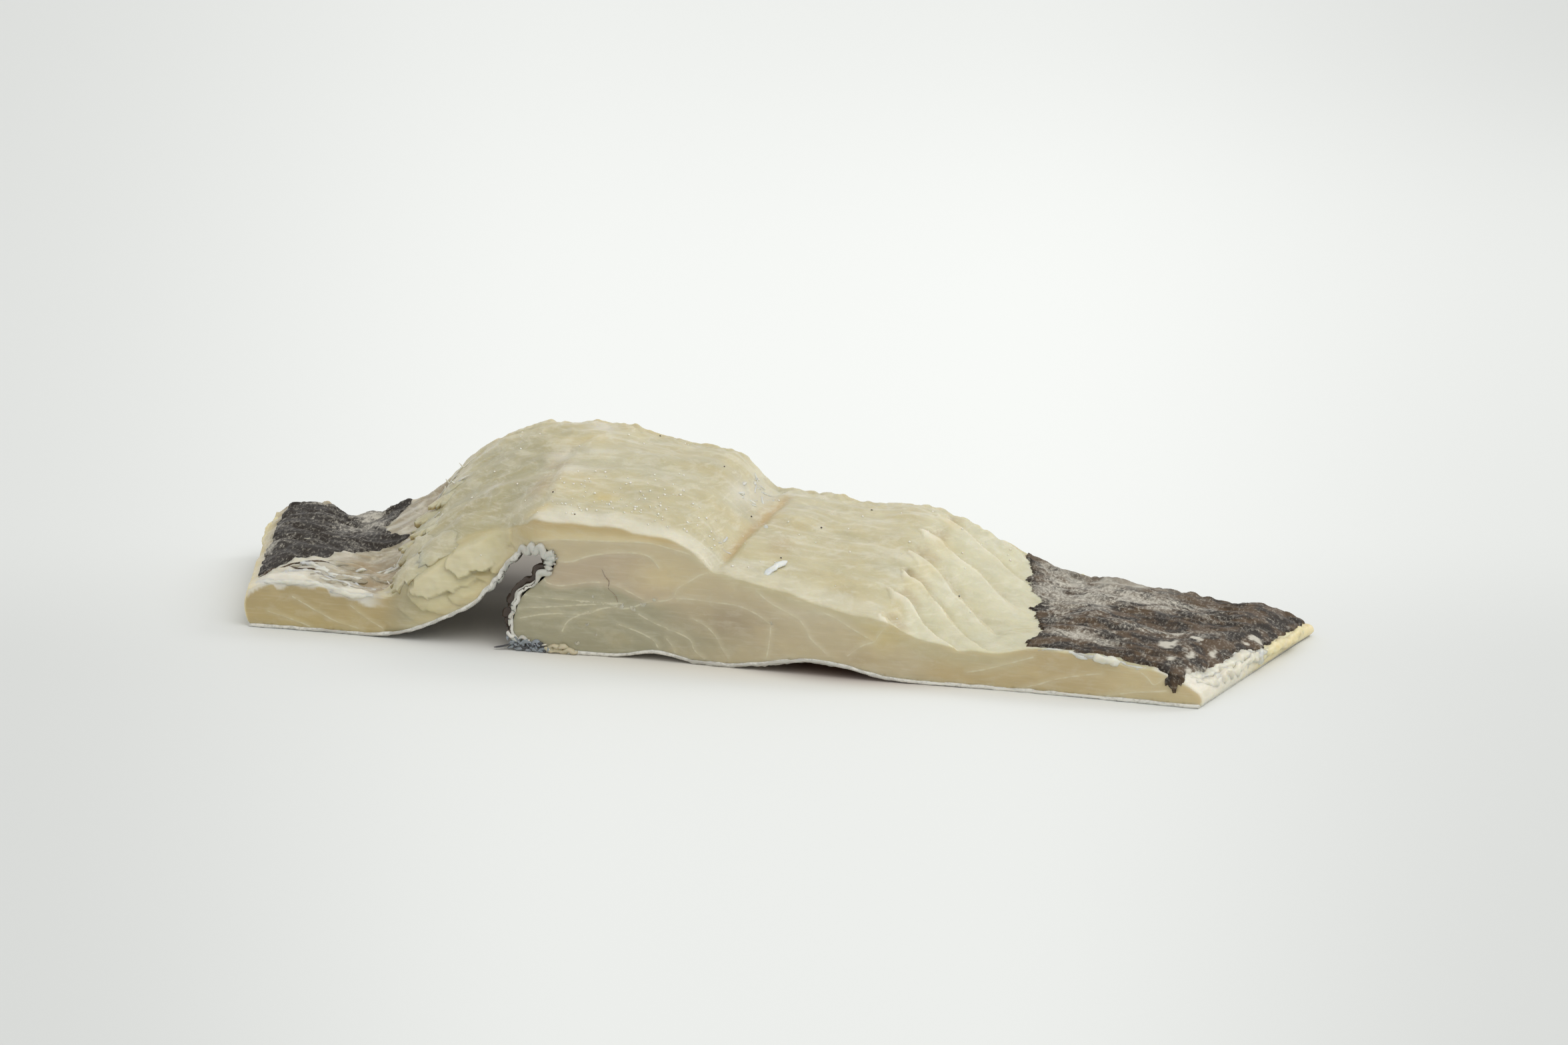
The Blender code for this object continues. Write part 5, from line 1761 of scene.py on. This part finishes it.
def build_stage():
    """A pale floor that fills the view, with painted shade that makes it a little darker to the sides and in
    front, and painted shadows under and behind the slab.
    """
    mesh = bpy.data.meshes.new("floor")
    half = 8.0
    corners = [(-half, -half, 0), (half, -half, 0), (half, half, 0), (-half, half, 0)]
    mesh.from_pydata(corners, [], [(0, 1, 2, 3)])
    s = Shader("pale_paper")
    turn = math.radians(VIEW_TURN)
    split = s.node("ShaderNodeSeparateXYZ")
    s.feed(split.inputs[0], s.place())
    across, along = [s.minus(split.outputs[i], VIEW_FROM[i]) for i in range(2)]
    right = s.plus(s.times(across, math.cos(turn)), s.times(along, math.sin(turn)))
    ahead = s.minus(s.times(along, math.cos(turn)), s.times(across, math.sin(turn)))
    ahead = s.math("MAXIMUM", ahead, 0.3)
    aside = s.math("ABSOLUTE", s.math("DIVIDE", right, ahead))
    # Painted shade: darker to the sides, and towards the slab in front.
    shade = s.ramp(aside, 0.06, 0.29, 1.0, 0.83)
    shade = s.times(shade, s.ramp(ahead, 0.84, 1.0, 0.925, 1.0))
    colour = s.mix(1.0, FLOOR_PALE, shade, "MULTIPLY")
    # Painted shade and shadows on the paper under and behind the slab.
    for centre, reach, tint, strength in PAINTED_FLOOR_SHADE:
        damp = s.node("ShaderNodeVectorMath", operation="DISTANCE")
        s.feed(damp.inputs[0], s.stretched((1 / reach[0], 1 / reach[1], 1.0)))
        damp.inputs[1].default_value = (centre[0] / reach[0], centre[1] / reach[1], 0.0)
        colour = s.mix(s.ramp(damp.outputs["Value"], 0.5, 1.0, strength, 0.0), colour, tint)
    s.surface(Base_Color=colour, Roughness=0.75, Specular_IOR_Level=0.15)
    mesh.materials.append(s.material)
    floor = add_object("floor", mesh)


def build_camera():
    """The photograph's view, from above the floor and round to the right."""
    data = bpy.data.cameras.new("camera")
    data.lens = LENS
    data.sensor_width = SENSOR
    data.clip_start = 0.05
    data.clip_end = 40.0
    camera = add_object("camera", data)
    camera.location = VIEW_FROM
    camera.rotation_euler = (math.radians(90 - VIEW_DOWN), 0.0, math.radians(VIEW_TURN))
    bpy.context.scene.camera = camera


def add_lamp(kind, name, heads, power):
    """A light that shines along a heading."""
    data = bpy.data.lights.new(name, kind)
    data.energy = power
    lamp = add_object(name, data)
    lamp.rotation_euler = Vector(heads).to_track_quat("-Z", "Y").to_euler()
    return lamp


def build_light():
    """A bright white room, a broad soft light overhead and a smaller one from the right and behind."""
    world = bpy.data.worlds.new("room")
    world.use_nodes = True
    background = world.node_tree.nodes["Background"]
    background.inputs["Color"].default_value = (1.0, 1.0, 1.0, 1)
    background.inputs["Strength"].default_value = ROOM_LIGHT
    bpy.context.scene.world = world
    sun = add_lamp("SUN", "overhead", SUN_HEADS, SUN_POWER)
    sun.data.angle = math.radians(SUN_WIDTH)
    box = add_lamp("AREA", "right_box", Vector(BOX_AIMS) - Vector(BOX_FROM), BOX_POWER)
    box.location = BOX_FROM
    box.data.shape = "SQUARE"
    box.data.size = BOX_SIZE


def look():
    """Plain colours, as the photograph has."""
    scene = bpy.context.scene
    scene.view_settings.view_transform = "Standard"
    scene.view_settings.look = "None"
    scene.view_settings.exposure = 0.0
    scene.view_settings.gamma = 1.0


build_camera()
build_stage()
build_light()
look()
flesh_wet = flesh_material()
brown_lining = lining_material("belly_lining_brown", LINING_BLACK, LINING_BROWN)
black_lining = lining_material("belly_lining_black", LINING_BLACK, LINING_BLUE)
body = build_flesh(flesh_wet)
build_skin(skin_material())
build_right_lining(brown_lining)
build_left_lining(black_lining)
build_flakes(body, flesh_wet)
build_tissue(body, flesh_wet)
build_strand(body, brown_lining)
build_tatters(tatter_material())
build_grains(body, grain_material())
